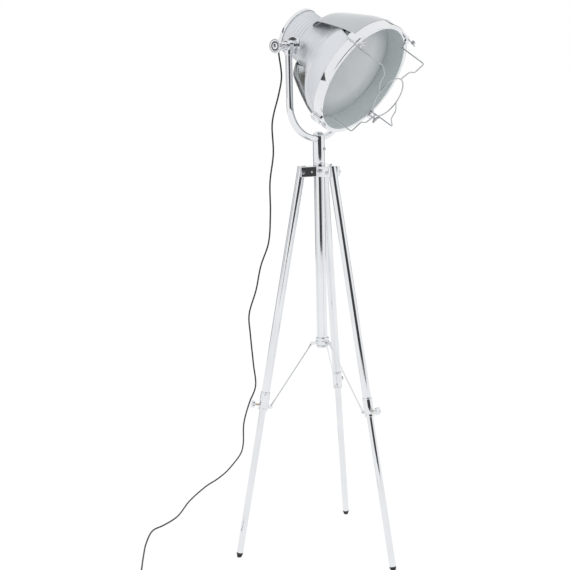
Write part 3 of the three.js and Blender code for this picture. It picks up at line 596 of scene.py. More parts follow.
def makePlug():
    end = cordLoops[-1]
    way = (end - cordLoops[-2]).normalized()
    place = lampPlace @ Matrix.Translation(end + way * fit) @ turn(math.degrees(math.atan2(way.y, way.x)), "Z")
    width, height = plug["width"] / 2, plug["height"] / 2
    parts = [loft([roundedRing(x, width * across, height * high) for x, across, high in plug["outline"]])]
    pins = []
    front, length, radius = plug["length"], plug["pinLength"], plug["pinRadius"]
    for offset in (-plug["pinSpacing"] / 2, plug["pinSpacing"] / 2):
        sheath = rod(radius * 0.96, front - 2, front + length * plug["sheath"])
        parts.append(moved(sheath, move(0, offset, 0), alongX))
        pin = rod(radius, front + length * plug["bare"], front + length, 24, 0.9)
        pins.append(moved(pin, move(0, offset, 0), alongX))
    foot, rim = plug["ribFoot"], plug["ribRadius"]
    for x in plug["ribs"]:  # soft ribs of the strain relief
        rib = turned([(foot, x - 0.9), (rim, x - 0.6), (rim, x + 0.6), (foot, x + 0.9)], 24, 0.3)
        parts.append(moved(rib, alongX))
    body = makePiece("plugBody", joined(*parts), place, "rubber", "yoke", ("plug",))
    return body, makePiece("plugPins", joined(*pins), place, "steel", "yoke")


plugPieces = makePlug()


def makeGland():
    root, flange = gland["seat"] - gland["root"], gland["flangeRadius"]
    line = [(0, root), (flange, root), (flange, gland["flangeEnd"]), (gland["bootRadius"], gland["flangeEnd"])]
    for i in range(gland["ribs"]):  # the boot's soft ribs
        low = gland["flangeEnd"] + 1.4 + i * gland["ribPitch"]
        radius = gland["bootRadius"] - i * gland["ribTaper"]
        line += [(radius, low), (radius, low + 1.9), (radius - 1, low + 2.1), (radius - 1, low + 3.1)]
    line += [(cord["diameter"] / 2 + 0.6, gland["end"]), (0, gland["end"])]
    shape = moved(turned(line, 32, 0.35), turn(180 + gland["angle"], "X"))
    headPiece("cordGland", shape, "rubber", "cord_gland")


makeGland()
print("cord: plug and gland made")


# Column, hub and tripod
column = {"radius": 16, "bore": 11.5, "bottom": 644.4, "capRadius": 17.5, "capHeight": 9.6, "plug": 15}
column.update({"spigotRadius": 13, "spigotTop": 1248})
hub = {"width": 48.7, "reach": 60.7, "bottom": 1153.7, "top": 1183.5, "slot": 38}
hub.update({"screwStation": 28, "screwHead": (3.1, 1.9)})
bolt = {"radius": 3, "headRadius": 5.5, "headHeight": 3, "nutRadius": 5.8, "nutHeight": 5, "spare": 1.2}
leg = {"radius": 12.5, "bore": 11, "rise": 13, "length": 718, "plug": 32, "capHeight": 3}
sleeve = {"top": 665, "bottom": 722, "radius": 14.7, "lip": 3.4, "boss": 4.6}
lowerLeg = {"radius": 10, "bore": 8.5, "top": 560, "tip": 15, "tipRadius": 6.5, "plug": 14, "belowFloor": 15}
thumb = {"station": 706, "shank": 2.6, "start": 28.5, "length": 9.5, "radius": 11, "notches": 72, "grip": 0.35}
thumb.update({"hub": 4.2, "hubHeight": 2.6, "hole": 0.01})
spreader = {"rest": 646, "height": 22, "radius": 20.5, "lugRadius": 31, "lugDrop": 6, "groove": (12, 15)}
strut = {"rod": 2.25, "eye": 5, "pin": 1.9, "head": 4, "headHeight": 2.2, "station": 710, "inset": 23, "lug": 4}
strut.update({"taper": (0, 8, 16, 24), "flatHalf": 4.4, "flatShare": 0.62, "sides": 20})


def hexagon(radius, low, high):
    angles = [math.pi / 3 * k for k in range(6)]
    return prism([(radius * math.cos(a), radius * math.sin(a)) for a in angles], low, high)


# A pan head with a cross recess, standing on z = 0
def panHead(radius, height):
    line = [(0, height), (radius * 0.45, height * 0.96), (radius * 0.8, height * 0.72), (radius, height * 0.3)]
    head = turned([(0, -0.4), (radius, -0.4), *line[::-1]], 32, 0.3)
    half, reach = radius * 0.13, radius * 0.55
    slot = block((-reach, reach), (-half, half), (height * 0.45, height * 2))
    return carved(head, *(moved(slot, turn(angle, "Z")) for angle in (0, 90)))


def makeColumn():
    bore, radius, spigot = column["bore"], column["radius"], column["spigotRadius"]
    bottom, top, end = column["bottom"], hub["top"], column["spigotTop"]
    line = [(bore, bottom), (radius, bottom), (radius, top), (spigot, top), (spigot, end), (bore, end)]
    makePiece("columnTube", turned(line, sides["fine"], 0.4), lampPlace, "tube", "root", ("column_tube",))
    low, wide = bottom - fit, column["capRadius"]
    base, plugTop = low - column["capHeight"], low + column["plug"]
    line = [(0, base), (wide * 0.55, base + 0.4), (wide * 0.85, base + 1.8), (wide, low - 5), (wide, low)]
    line += [(bore - fit, low), (bore - fit, plugTop), (0, plugTop)]
    cap = turned(line, sides["fine"], 0.9)
    makePiece("columnEndCap", cap, lampPlace, "chrome", "root", ("column_end_cap",))


# The hub's casting: three forks about the column, with small screws on the cheeks
def makeHub():
    half, slotHalf = hub["width"] / 2, leg["radius"] + fit * 2
    fork = [
        (0, -half), (hub["reach"], -half), (hub["reach"], -slotHalf), (hub["slot"], -slotHalf),
        (hub["slot"], slotHalf), (hub["reach"], slotHalf), (hub["reach"], half), (0, half),
    ]
    body = prism(fork, hub["bottom"], hub["top"])
    arms = [moved(body, turn(angle, "Z")) for angle in lamp["legAngles"]]
    bore = rod(column["radius"] + fit, hub["bottom"] - 2, hub["top"] + 2, sides["medium"], 0)
    shape = carved(combined("UNION", *arms), bore)
    makePiece("hubCasting", shape, lampPlace, "chrome", "root", ("hub",), bevel=1.1, sharp=30)
    screws = []
    for angle in lamp["legAngles"]:
        for side in (-1, 1):
            spot = turn(angle, "Z") @ move(hub["screwStation"], side * half, (hub["bottom"] + hub["top"]) / 2)
            screws.append(moved(panHead(*hub["screwHead"]), spot @ turn(-90 * side, "X")))
    makePiece("hubScrews", joined(*screws), lampPlace, "steel", "root")


def makeLegBolts():
    side = hub["width"] / 2
    nutEnd = side + fit + bolt["nutHeight"]
    shank = rod(bolt["radius"], -side, nutEnd + bolt["spare"])
    head = moved(panHead(bolt["headRadius"], bolt["headHeight"]), move(0, 0, -side - fit), turn(180, "X"))
    nut = hexagon(bolt["nutRadius"], side + fit, nutEnd)
    shape = moved(joined(shank, head, nut), alongY)
    for i, spot in enumerate(hingePlaces):
        makePiece(f"legBolt{i + 1}", shape, spot, "steel", "root", (f"leg_bolt_{i + 1}",), bevel=0.25)


def makeLegs():
    cross = moved(rod(bolt["radius"] + fit, -30, 30, 16, 0), alongY)
    upper = carved(pipe(leg["radius"], leg["bore"], -leg["length"], leg["rise"], sides["fine"]), cross)
    bore, low, seat, top = leg["bore"] - fit, -leg["plug"], leg["rise"] + fit, leg["rise"] + leg["capHeight"]
    end = [(0, low), (bore, low), (bore, seat), (leg["radius"], seat), (leg["radius"], top), (0, top)]
    for i, place in enumerate(legPlaces):
        name = str(i + 1)
        body = "leg_" + name
        makePiece("upperTube" + name, upper, place, "tube", body, ("upper_leg_" + name,))
        makePiece("legEnd" + name, turned(end, sides["medium"]), place, "chrome", body, ("leg_end_" + name,))
        makeSleeve(name, place, body)
        makeThumbscrew(name, place)
        makeLowerLeg(name, place)


def lugOutline(root, reach, eye):
    arc = [(reach + eye * math.sin(a), -eye * math.cos(a)) for a in (math.pi * k / 10 for k in range(11))]
    return [(root, -eye), *arc, (root, eye)]


# A lug is a plate with a round end, from x root to reach, beside the plane y = 0
def lugPlate(reach, root):
    return moved(prism(lugOutline(root, reach, strut["eye"]), -fit - strut["lug"], -fit), turn(90, "X"))


def makeSleeve(name, place, body):
    inner, guide, radius = leg["radius"] + fit, lowerLeg["radius"] + fit, sleeve["radius"]
    top, bottom = -sleeve["top"], -sleeve["bottom"]
    lip = bottom + sleeve["lip"]
    line = [(guide, bottom), (radius - 0.5, bottom), (radius, bottom + 1)]
    line += cutGroove(radius, bottom + 7, bottom + 9.6, 0.7, 0.6)
    line += cutGroove(radius, top - 4.6, top - 2.4, 0.6, 0.6)
    line += [(radius, top), (inner, top), (inner, lip), (guide, lip)]
    atScrew = move(0, 0, -thumb["station"])
    hole = moved(rod(thumb["shank"] + fit, 0, radius + 6, 16, 0), alongX)
    tube = carved(turned(line, sides["fine"], 0.25), moved(hole, atScrew))
    lug = moved(lugPlate(strut["inset"], inner + fit), turn(180, "Z"))
    lug = moved(lug, move(0, 2 * fit + strut["lug"], -strut["station"]))
    boss = moved(pipe(sleeve["boss"], thumb["shank"] + fit, radius - 1, radius + 0.2 + fit, 24, 0.2), alongX)
    shape = joined(tube, lug, moved(boss, atScrew))
    makePiece("legSleeve" + name, shape, place, "chrome", body, ("leg_sleeve_" + name,), bevel=0.3, sharp=40)


# The thumbscrew's disc has a ground rim and a turned face
def makeThumbscrew(name, place):
    start, end, radius = thumb["start"], thumb["start"] + thumb["length"], thumb["radius"]
    shank, flange = thumb["shank"], thumb["shank"] + fit * 2
    foot, seat = lowerLeg["radius"] + fit, sleeve["radius"] + fit * 2
    line = [(0, foot), (shank, foot), (shank, seat), (flange, seat), (flange, start + 1), (0, start + 1)]
    spot = place @ move(0, 0, -thumb["station"]) @ alongX
    body = "thumbscrew_" + name
    makePiece("thumbShank" + name, turned(line, 24, 0.2), spot, "brass", body)
    hole, neckRadius, low = thumb["hole"], thumb["hub"], start - thumb["hubHeight"]
    line = [(hole, low), (neckRadius, low), (neckRadius + 0.4, start - 0.2), (radius - 1.2, start)]
    line += [(radius, start + 1.1), (radius, end - 1.1), (radius - 1.2, end), (radius * 0.6, end)]
    line += [(radius * 0.5, end - 0.6), (hole, end - 0.6)]
    rings = []
    for notch in range(thumb["notches"]):
        grip = thumb["grip"] if notch % 2 else 0  # every second notch is cut into the rim
        angle = 2 * math.pi * notch / thumb["notches"]
        ring = []
        for out, height in line:
            reach = out - grip if out == radius else out
            ring.append((reach * math.cos(angle), reach * math.sin(angle), height))
        rings.append(ring)
    disc = loft(rings, True)
    makePiece("thumbDisc" + name, disc, spot, "chrome", body, ("leg_" + body,), "steel_fastener", sharp=25)


def makeLowerLeg(name, place):
    body, radius, bore = "extension_" + name, lowerLeg["radius"], lowerLeg["bore"] - fit
    low = lowerLeg["tip"] - legLength
    tube = pipe(radius, lowerLeg["bore"], low, -lowerLeg["top"], sides["fine"])
    makePiece("lowerTube" + name, tube, place, "tube", body, ("lower_leg_" + name,))
    top, under = low - fit, -legLength - lowerLeg["belowFloor"]
    plugTop = top + lowerLeg["plug"]
    end = lowerLeg["tipRadius"]
    line = [(0, under), (end, under), (end, -legLength), (radius - 0.9, top - 6), (radius, top - 3)]
    line += [(radius, top), (bore, top), (bore, plugTop), (0, plugTop)]
    level = move(0, 0, -legLength) @ turn(math.degrees(legTilt), "Y")
    floor = moved(block((-60, 60), (-60, 60), (-60, 0)), level)
    tip = carved(turned(line, sides["medium"], 0.8), floor)
    makePiece("footTip" + name, tip, place, "rubber", body, ("foot_tip_" + name,), bevel=0.5)


def makeSpreader():
    low, top, radius = spreader["rest"], spreader["rest"] + spreader["height"], spreader["radius"]
    bore, lugRadius = column["radius"] + fit, spreader["lugRadius"]
    start, end = (low + height for height in spreader["groove"])
    line = [(bore, low), (radius - 0.8, low), (radius, low + 0.8), *cutGroove(radius, start, end, 1, 1)]
    line += [(radius, top - 1), (radius - 1.4, top), (bore, top)]
    parts = [turned(line, sides["medium"], 0.5)]
    pinEnd = -strut["rod"] * 2 - fit
    head = moved(panHead(strut["head"], strut["headHeight"]), move(0, 0, pinEnd), turn(180, "X"))
    pin = joined(rod(strut["pin"], pinEnd, fit * 2 + 1), head)
    for angle in lamp["legAngles"]:
        spot = turn(angle, "Z") @ move(0, 0, low + spreader["lugDrop"])
        parts.append(moved(lugPlate(lugRadius, radius - 1.5), spot))
        parts.append(moved(pin, spot @ move(lugRadius, 0, 0), alongY))
    shape, nodes = joined(*parts), ("spreader_collar",)
    makePiece("spreaderCollar", shape, lampPlace, "chrome", "spreader", nodes, bevel=0.3, sharp=40)


# Each strut is a round rod with flattened, drilled ends
def makeStruts():
    reach, station, inset, radius = spreader["lugRadius"], strut["station"], strut["inset"], strut["rod"]
    footX = lamp["hingeRadius"] + station * math.sin(legTilt) - inset * math.cos(legTilt)
    footZ = lamp["hingeHeight"] - station * math.cos(legTilt) - inset * math.sin(legTilt)
    topZ = spreader["rest"] + spreader["lugDrop"]
    length = math.hypot(footX - reach, topZ - footZ)
    lean = math.degrees(math.atan2(footX - reach, topZ - footZ))
    taper, thin = strut["taper"], strut["flatShare"]
    angles = [2 * math.pi * k / strut["sides"] for k in range(strut["sides"])]
    rings = []
    for down in (*taper, *(length - part for part in taper[::-1])):
        flat = min(down, length - down, taper[-1]) / taper[-1]
        across = strut["flatHalf"] * (1 - flat) + radius * flat
        thick = radius * (thin + (1 - thin) * flat)
        rings.append([(across * math.cos(a), -radius + thick * math.sin(a), -down) for a in angles])
    parts = [loft(rings)]
    for height in (0, -length):
        ending = pipe(strut["eye"] - fit, strut["pin"] + fit, -radius * 2, 0, 28, 0.3)
        parts.append(moved(ending, move(0, 0, height), alongY))
    head = moved(panHead(strut["head"], strut["headHeight"]), move(0, 0, -radius * 2), turn(180, "X"))
    parts.append(moved(head, move(0, 0, -length), alongY))
    shape = joined(*parts)
    for i, side in enumerate(sidePlaces):
        name, place = str(i + 1), side @ move(reach, 0, topZ) @ turn(-lean, "Y")
        makePiece("strutRod" + name, shape, place, "chrome", "link_" + name, ("strut_" + name,), sharp=40)


makeColumn()
makeHub()
makeLegBolts()
makeLegs()
makeSpreader()
makeStruts()
print("tripod: made")


# Stem and yoke: X along the tilt axis, Z up, from the tilt axis
stem = {"radius": 17.5, "dome": 16, "top": 1284, "boreTop": 1250}
stemScrew = {"height": 1232, "radius": 3, "head": 5, "headHeight": 3.6, "angle": -20}
yoke = {"reach": 133, "radius": 10, "bore": 7.6, "bend": 1366, "bottom": 1263, "steps": 48}
eye = {"radius": 15, "inner": 120, "outer": 146, "spacer": 12, "collar": 11.8, "collarDrop": 26, "plugDrop": 48}
stud = {"root": 66, "step": 92, "boss": 11.5, "washer": 25, "inner": 107.5, "outer": 113.5, "radius": 5}
knob = {"barrel": 10.5, "barrelEnd": 174, "shank": 4.5, "disc": 20.5, "start": 187, "end": 195, "edge": 2.5}
eye["edge"] = stud["edge"] = 1.2
eye.update({"collarTop": -6, "shoulder": -12, "collarEdge": -17, "pegTop": -20})
stud["end"], knob["boreEnd"] = 160, 163
twoSides = {"Near": 0, "Far": 180}


def makeStem():
    pivot, radius = lamp["pivotHeight"], stem["radius"]
    base, top, boreTop = hub["top"] + fit - pivot, stem["top"] - pivot, stem["boreTop"] - pivot
    bore = column["spigotRadius"] + fit
    line = [(0, boreTop), (bore, boreTop), (bore, base), (radius, base)]
    line += cutGroove(radius, base + 5, base + 6.8, 0.5, 0.4)
    for i in range(10):
        angle = math.pi / 2 * i / 10
        line.append((radius * math.cos(angle), top - stem["dome"] * (1 - math.sin(angle))))
    line.append((0, top))
    tunnel = sweep(yokeLine(), yoke["radius"] + fit, 32)
    casting = carved(turned(line, sides["fine"], 0.3), tunnel)
    makePiece("stemCasting", casting, panPlace, "tube", "yoke", ("stem",))
    spot = panPlace @ turn(stemScrew["angle"] - lamp["panAngle"], "Z") @ move(0, 0, stemScrew["height"] - pivot)
    head = moved(panHead(stemScrew["head"], stemScrew["headHeight"]), move(0, 0, radius + fit))
    screw = joined(rod(stemScrew["radius"], bore, radius + 1), head)
    makePiece("stemScrew", screw, spot @ alongX, "steel", "yoke", ("stem_screw",))


def yokeLine():
    arm, top = yoke["reach"], -eye["collarDrop"] - fit
    bend, depth = yoke["bend"] - lamp["pivotHeight"], yoke["bend"] - yoke["bottom"]
    line = [(-arm, 0, top), (-arm, 0, top * 0.6 + bend * 0.4), (-arm, 0, top * 0.2 + bend * 0.8)]
    for i in range(yoke["steps"] + 1):
        angle = math.pi * i / yoke["steps"]
        line.append((-arm * math.cos(angle), 0, bend - depth * math.sin(angle)))
    return [*line, (arm, 0, top * 0.2 + bend * 0.8), (arm, 0, top * 0.6 + bend * 0.4), (arm, 0, top)]


def makeYoke():
    tube = sweep(yokeLine(), yoke["radius"], sides["medium"])
    makePiece("yokeTube", tube, panPlace, "tube", "yoke", ("yoke_tube",))
    inner, outer, radius, edge, spacer = (eye[key] for key in ("inner", "outer", "radius", "edge", "spacer"))
    start, bore = stud["outer"] + fit, stud["radius"] + fit
    line = [(bore, start), (spacer, start), (spacer, inner), (radius - edge, inner), (radius, inner + edge)]
    line += [(radius, outer - edge), (radius - edge, outer), (bore, outer)]
    body = moved(turned(line, sides["medium"], 0.8), alongX)
    low, collar = -eye["collarDrop"], eye["collar"]
    line = [(0, low), (collar - 0.8, low), (collar, low + 0.8), (collar, eye["collarEdge"])]
    line += [(collar + 0.6, eye["shoulder"]), (collar - 1, eye["collarTop"]), (0, eye["collarTop"])]
    peg = rod(yoke["bore"] - fit * 2, -eye["plugDrop"], eye["pegTop"])
    arm = moved(joined(turned(line, sides["medium"], 0.7), peg), move(yoke["reach"], 0, 0))
    for word, angle in twoSides.items():
        place, node = panPlace @ turn(angle, "Z"), "yoke_eye_" + word.lower()
        makePiece("yokeEye" + word, joined(body, arm), place, "chrome", "yoke", (node,), sharp=40)


makeStem()
makeYoke()
print("yoke: made")


# Head: Z forward along the lamp's axis, X along the tilt axis, Y towards its underside
neck = {"rear": -78, "radius": 71, "wall": 3, "front": 76, "flare": 118}
groove = {"count": 7, "pitch": 9.5, "share": 0.86, "depth": 1.7, "first": -14}
bell = {"start": 76.3, "front": 176, "rimStart": 158, "rim": 172.2, "wall": 2.5, "window": 118}
ring = {"rear": 166, "front": 192, "radius": 174, "lip": 161.5, "wall": 1.5, "hoodRear": 137, "hood": 152}
lens = {"edge": 155, "dome": 148, "bulge": 29, "flange": 5, "wall": 3, "steps": 16}
reflector = {"rim": 150, "mouth": 140, "throat": 24, "low": 12, "high": 128, "wall": 1.5}
reflector.update({"bend": 1.6, "steps": 14})
holder = {"rear": -73.7, "radius": 19, "rim": 21, "rimHeight": 8, "front": 5, "bore": 13.7, "depth": 27}
bulb = {"base": -21, "cap": 13.3, "capLength": 25, "globe": 30, "tip": 86, "threads": 5, "threadPitch": 3.6}
rearCap = {"radius": 73, "thickness": 5, "edge": 2.5, "plug": 67.5, "plugLength": 4, "rim": 6.4}
rearCap["face"] = [(0, 1.6), (22, 1.6), (23.5, 0.4), (26, 0), (60, 0), (62, 1), (64, 0)]  # out, sunk
rearCap["screws"] = {"angles": (45, 135, 225, 315), "out": 45, "head": (3.4, 2)}
neckScrews = {"angles": (-96, 96), "out": 101, "along": 60, "tilt": 55, "head": (3.6, 2)}
shield = {"rear": -7, "rearRadius": 80, "rimEnd": 165.7, "wall": 1.5, "half": 41, "lip": 2.5, "steps": 44}
clamp = {"width": 18, "outer": 184, "rear": 161, "hook": 165, "hookFront": 195.6, "angles": (135, 45, -135, -45)}
clamp.update({"bolt": 2.5, "boltOut": 179.5, "boltEnd": 217, "nut": 4.6, "cheekInset": 4.6, "cheekAlong": 172})
wing = {"start": 206, "length": 9, "radius": 5, "thickness": 2.6}
wing["ear"] = [(3.4, 1, 8), (6, 2.4, 9.2), (9, 3.4, 11), (12, 4.6, 11.2), (13, 6, 10)]  # out, low, high
guard = {"wire": 1.75, "leg": 148, "depth": 92, "hoop": 60, "corner": 146, "jog": 26, "hoopSteps": 72}
guard["jogEnds"] = (4, -10)  # where the jog leaves and crosses over, from midway between corner and hoop
flareShares = [(0, 0), (0.1, 0.02), (0.24, 0.08), (0.4, 0.2), (0.56, 0.38), (0.72, 0.6), (0.88, 0.86), (1, 1)]
bellShares = [(0, 0), (0.05, 0.14), (0.14, 0.3), (0.26, 0.5), (0.42, 0.7), (0.6, 0.83), (0.82, 0.95), (1, 1)]
shieldShares = [(0, 0), (0.06, 0.18), (0.13, 0.34), (0.26, 0.48), (0.4, 0.6), (0.62, 0.78), (0.82, 0.92), (1, 1)]
globeShares = [(0, 0.44), (0.14, 0.46), (0.28, 0.56), (0.42, 0.82), (0.56, 0.98), (0.7, 1), (0.84, 0.86)]
globeShares.append((0.94, 0.56))


def smoothProfile(line, perSpan=4):
    return [(point.x, point.y) for point in smoothLine([(x, y, 0) for x, y in line], perSpan)]


def makeNeck():
    radius, rear = neck["radius"], neck["rear"]
    line = [(radius - 0.6, rear), (radius, rear + 0.8)]
    for i in range(groove["count"] - 1, -1, -1):  # rolled grooves with soft shoulders
        middle = groove["first"] - groove["pitch"] * i
        for step in range(9):
            share = step / 4 - 1
            dip = groove["depth"] * (0.5 + 0.5 * math.cos(math.pi * share))
            line.append((radius - dip, middle + share * groove["pitch"] / 2 * groove["share"]))
    flare = smoothProfile(between((radius, 0), (neck["flare"], neck["front"]), flareShares))
    inside = inward([(radius, rear), *flare], neck["wall"])
    inside[0] = (inside[0][0], rear)
    inside[-1] = (inside[-1][0], neck["front"])
    shape = turned([*line, *flare, *inside[::-1]], sides["fine"], 0)
    headPiece("neckHousing", shape, "enamel", "neck_housing", sharp=50)


def screwRow(screws, place):
    heads = [moved(panHead(*screws["head"]), turn(angle, "Z") @ place) for angle in screws["angles"]]
    return joined(*heads)


def makeRearCap():
    front, radius, edge, screws = neck["rear"] - fit, rearCap["radius"], rearCap["edge"], rearCap["screws"]
    back, rim, seat = front - rearCap["thickness"], front + rearCap["rim"], neck["radius"] + fit
    plugRadius, plugEnd = rearCap["plug"], front + rearCap["plugLength"]
    line = [(out, back + sunk) for out, sunk in rearCap["face"]]
    line += [(radius - edge, back), (radius, back + edge), (radius, rim), (seat, rim), (seat, front)]
    line += [(plugRadius, front), (plugRadius, plugEnd), (0, plugEnd)]
    outlet = moved(rod(gland["flangeRadius"] - 2, 70, gland["end"], 24, 0), turn(180 + gland["angle"], "X"))
    shape = carved(turned(line, sides["fine"], 0.9), outlet)
    headPiece("rearCap", shape, "chrome", "rear_cap", sharp=30)
    headPiece("rearCapScrews", screwRow(screws, move(screws["out"], 0, back) @ turn(180, "X")), "steel")


def makeBell():
    shoulder, rim = (neck["flare"], bell["start"]), (bell["rim"], bell["front"] - bell["wall"] * 2)
    line = [*smoothProfile(between(shoulder, rim, bellShares)), (bell["rim"], bell["front"])]
    whole = turned(shell(line, bell["wall"]), sides["fine"] * 2, 0)
    across, along = (-ring["radius"], ring["radius"]), (bell["start"] - 2, bell["rimStart"])
    upper = block(across, (-ring["radius"] - 20, -bell["window"]), along)
    lower = block(across, (bell["window"], ring["radius"] + 20), along)
    headPiece("bellShell", carved(whole, upper, lower), "enamel", "bell", sharp=50)


# The front ring: a bright band over the bell's rim, and the painted hood inside it
def makeFrontRing():
    keys = ("wall", "radius", "rear", "front", "lip", "hood", "hoodRear")
    wall, radius, rear, front, lip, hood, hoodRear = (ring[key] for key in keys)
    line = [(radius - wall, rear), (radius - 0.3, rear), (radius, rear + 0.6), (radius, front - 2.4)]
    line += [(radius - 0.9, front - 0.7), (radius - 2.6, front), (lip + 2, front), (lip + 0.4, front - 0.5)]
    line += [(lip, front - 1.4), (lip + 0.6, front - 2.6), (radius - wall, front - wall * 2)]
    band = turned(line, sides["fine"] * 2, 0.4)
    headPiece("frontBand", band, "chrome", "front_ring", slot="ring_enamel", sharp=35)
    line = [(lip - 0.1, front - 1.6), (lip - 1.2, front - 2.2), (hood, hoodRear), (hood + wall, hoodRear)]
    lining = turned([*line, (lip + 0.3, front - 3)], sides["fine"] * 2, 0.2)
    headPiece("hoodLining", lining, "hood", sharp=35)


def makeLens():
    dome, bulge, wall, edge, steps = (lens[key] for key in ("dome", "bulge", "wall", "edge", "steps"))
    seat = ring["hoodRear"] - fit
    curve = (dome**2 + bulge**2) / (2 * bulge)
    centre = seat + bulge - curve
    front = []
    for i in range(steps, -1, -1):
        radius = dome * i / steps
        front.append((radius, centre + math.sqrt(curve**2 - radius**2)))
    back = [(radius * (1 - wall / dome), height - wall) for radius, height in front[::-1]]
    rim = seat - lens["flange"]
    line = [*back[:-1], (back[-1][0], rim), (edge, rim), (edge, seat), *front]
    headPiece("frostedLens", turned(line, sides["fine"], 0), "glass", "lens", sharp=40)


def makeReflector():
    rim, mouth, throat, low, wall = (reflector[key] for key in ("rim", "mouth", "throat", "low", "wall"))
    line, steps = [], reflector["steps"]
    for share in (i / steps for i in range(steps)):
        height = low + (reflector["high"] - low) * share ** reflector["bend"]
        line.append((throat + (mouth - throat) * share, height))
    outer = [(radius, height - wall * 2) for radius, height in line[::-1]]
    front = ring["hoodRear"] - lens["flange"] - fit * 2
    rear = front - wall
    line += [(mouth, front), (rim, front), (rim, rear), (mouth, rear), *outer]
    headPiece("reflectorBowl", turned(line, sides["fine"], 0), "reflector", "reflector", sharp=40)


def makeLampHolder():
    radius, rear, front, bore, wide = (holder[key] for key in ("radius", "rear", "front", "bore", "rim"))
    rim, floor = front - holder["rimHeight"], front - holder["depth"]
    line = [(0, rear), (radius, rear), *cutGroove(radius, rim - 20, rim - 15, 1.2, 1), (radius, rim)]
    line += [(wide, rim), (wide, front), (bore, front), (bore, floor), (0, floor)]
    headPiece("lampHolder", turned(line, sides["medium"], 0.8), "porcelain", "lamp_holder")


def makeBulb():
    base, cap, tip = bulb["base"], bulb["cap"], bulb["tip"]
    top = base + bulb["capLength"]
    globe = smoothProfile([*between((0, top), (bulb["globe"], tip), globeShares), (0, tip)])
    headPiece("bulbGlobe", turned([(0, top - 1), *globe], sides["medium"], 0), "bulb", "bulb")
    line = [(0, base), (5, base), (9, base + 3)]
    for i in range(bulb["threads"]):  # rolled thread of the cap
        low = base + 4 + i * bulb["threadPitch"]
        line += [(cap - 1, low), (cap, low + 0.9), (cap, low + 1.8), (cap - 1, low + 2.7)]
    headPiece("bulbCap", turned([*line, (cap, top), (0, top)], sides["medium"], 0.3), "steel")


def makeShields():
    start, end, wall = shield["rear"], shield["rimEnd"], shield["wall"]
    rim = (ring["radius"], end - ring["wall"] * 4)
    line = smoothProfile(between((shield["rearRadius"], start), rim, shieldShares))
    outside = [(neck["radius"] + fit * 2, start), *line, (ring["radius"], end)]
    inside = inward(outside[1:], wall)
    inside[0] = (inside[0][0], start + wall)
    inside[-1] = (inside[-1][0], end)
    profile = [*outside, *inside[::-1], (neck["radius"] + shield["lip"], start + wall)]
    for word, middle in (("upper", -90), ("lower", 90)):
        shape = turned(profile, shield["steps"], 0, (middle - shield["half"], middle + shield["half"]))
        headPiece(word + "Shield", shape, "shield", word + "_shield", bevel=0.4, sharp=50)


makeNeck()
makeRearCap()
makeBell()
makeFrontRing()
makeLens()
makeReflector()
makeLampHolder()
makeBulb()
makeShields()
print("head: shells made")


def studShape():
    keys = ("root", "step", "boss", "inner", "outer", "washer", "edge", "radius", "end")
    root, step, boss, inner, outer, washer, edge, radius, end = (stud[key] for key in keys)
    line = [(0, root), (boss, root), (boss, step), (boss - 1.5, step + 2), (boss - 1.5, inner)]
    line += [(washer - edge, inner), (washer, inner + edge), (washer, outer - edge), (washer - edge, outer)]
    line += [(radius, outer), (radius, end), (0, end)]
    return moved(turned(line, sides["medium"], 0.7), alongX)


def knobShape():
    keys = ("barrel", "barrelEnd", "shank", "disc", "start", "end", "edge", "boreEnd")
    barrel, barrelEnd, shank, disc, start, end, edge, boreEnd = (knob[key] for key in keys)
    root, bore = eye["outer"] + fit, stud["radius"] + fit
    line = [(0, boreEnd), (bore, boreEnd), (bore, root), (barrel - 0.8, root), (barrel, root + 0.8)]
    line += cutGroove(barrel, root + 9, root + 13, 1, 1)
    line += [(barrel, barrelEnd - 1), (barrel - 1.6, barrelEnd), (shank, barrelEnd), (shank, start - 1)]
    line += [(shank + 2.5, start), (disc - edge, start), (disc - 0.6, start + 1), (disc, start + edge)]
    line += [(disc, end - edge), (disc - 0.6, end - 1), (disc - edge, end), (disc - 5, end)]
    line += [(disc - 6.5, end - 1.2), (8, end - 1.2), (6.5, end - 0.2), (0, end)]
    return moved(turned(line, sides["medium"], 0.8), alongX)


def makeStuds():
    for word, angle in twoSides.items():
        place, side, body = headPlace @ turn(angle, "Z"), word.lower(), "knob_" + word.lower()
        makePiece("pivotStud" + word, studShape(), place, "chrome", "head", ("pivot_stud_" + side,), sharp=30)
        makePiece("tiltKnob" + word, knobShape(), place, "chrome", body, ("tilt_" + body,), sharp=30)


# Each clamp hooks over the band, with a forward bolt, a wing nut and two cheek screws
def makeClamps():
    rear, outer, hook, tip = (clamp[key] for key in ("rear", "outer", "hook", "hookFront"))
    half, seat, face = clamp["width"] / 2, ring["radius"] + fit, ring["front"] + fit
    outline = [(rear, seat), (rear, outer - 1.5), (rear + 1.5, outer), (tip - 2, outer), (tip, outer - 2)]
    outline += [(tip, hook), (face, hook), (face, seat)]
    plate = loft([[(out, across, forward) for forward, out in outline] for across in (-half, half)])
    atBolt = move(clamp["boltOut"], 0, 0)
    boltRod = moved(rod(clamp["bolt"], ring["front"], clamp["boltEnd"], 24, 0.6), atBolt)
    nut = moved(hexagon(clamp["nut"], rear - 0.2, rear + 2), atBolt)
    cheeks = []
    for side in (-1, 1):
        spot = move(outer - clamp["cheekInset"], side * half, clamp["cheekAlong"]) @ turn(-90 * side, "X")
        cheeks.append(moved(panHead(3, 1.4), spot))
    shape = joined(plate, boltRod, nut, *cheeks)
    for i, angle in enumerate(clamp["angles"]):
        name, place = str(i + 1), headPlace @ turn(angle, "Z")
        makePiece("clampHook" + name, shape, place, "chrome", "head", ("clamp_" + name,), bevel=0.7, sharp=35)
        makeWingNut(name, place)


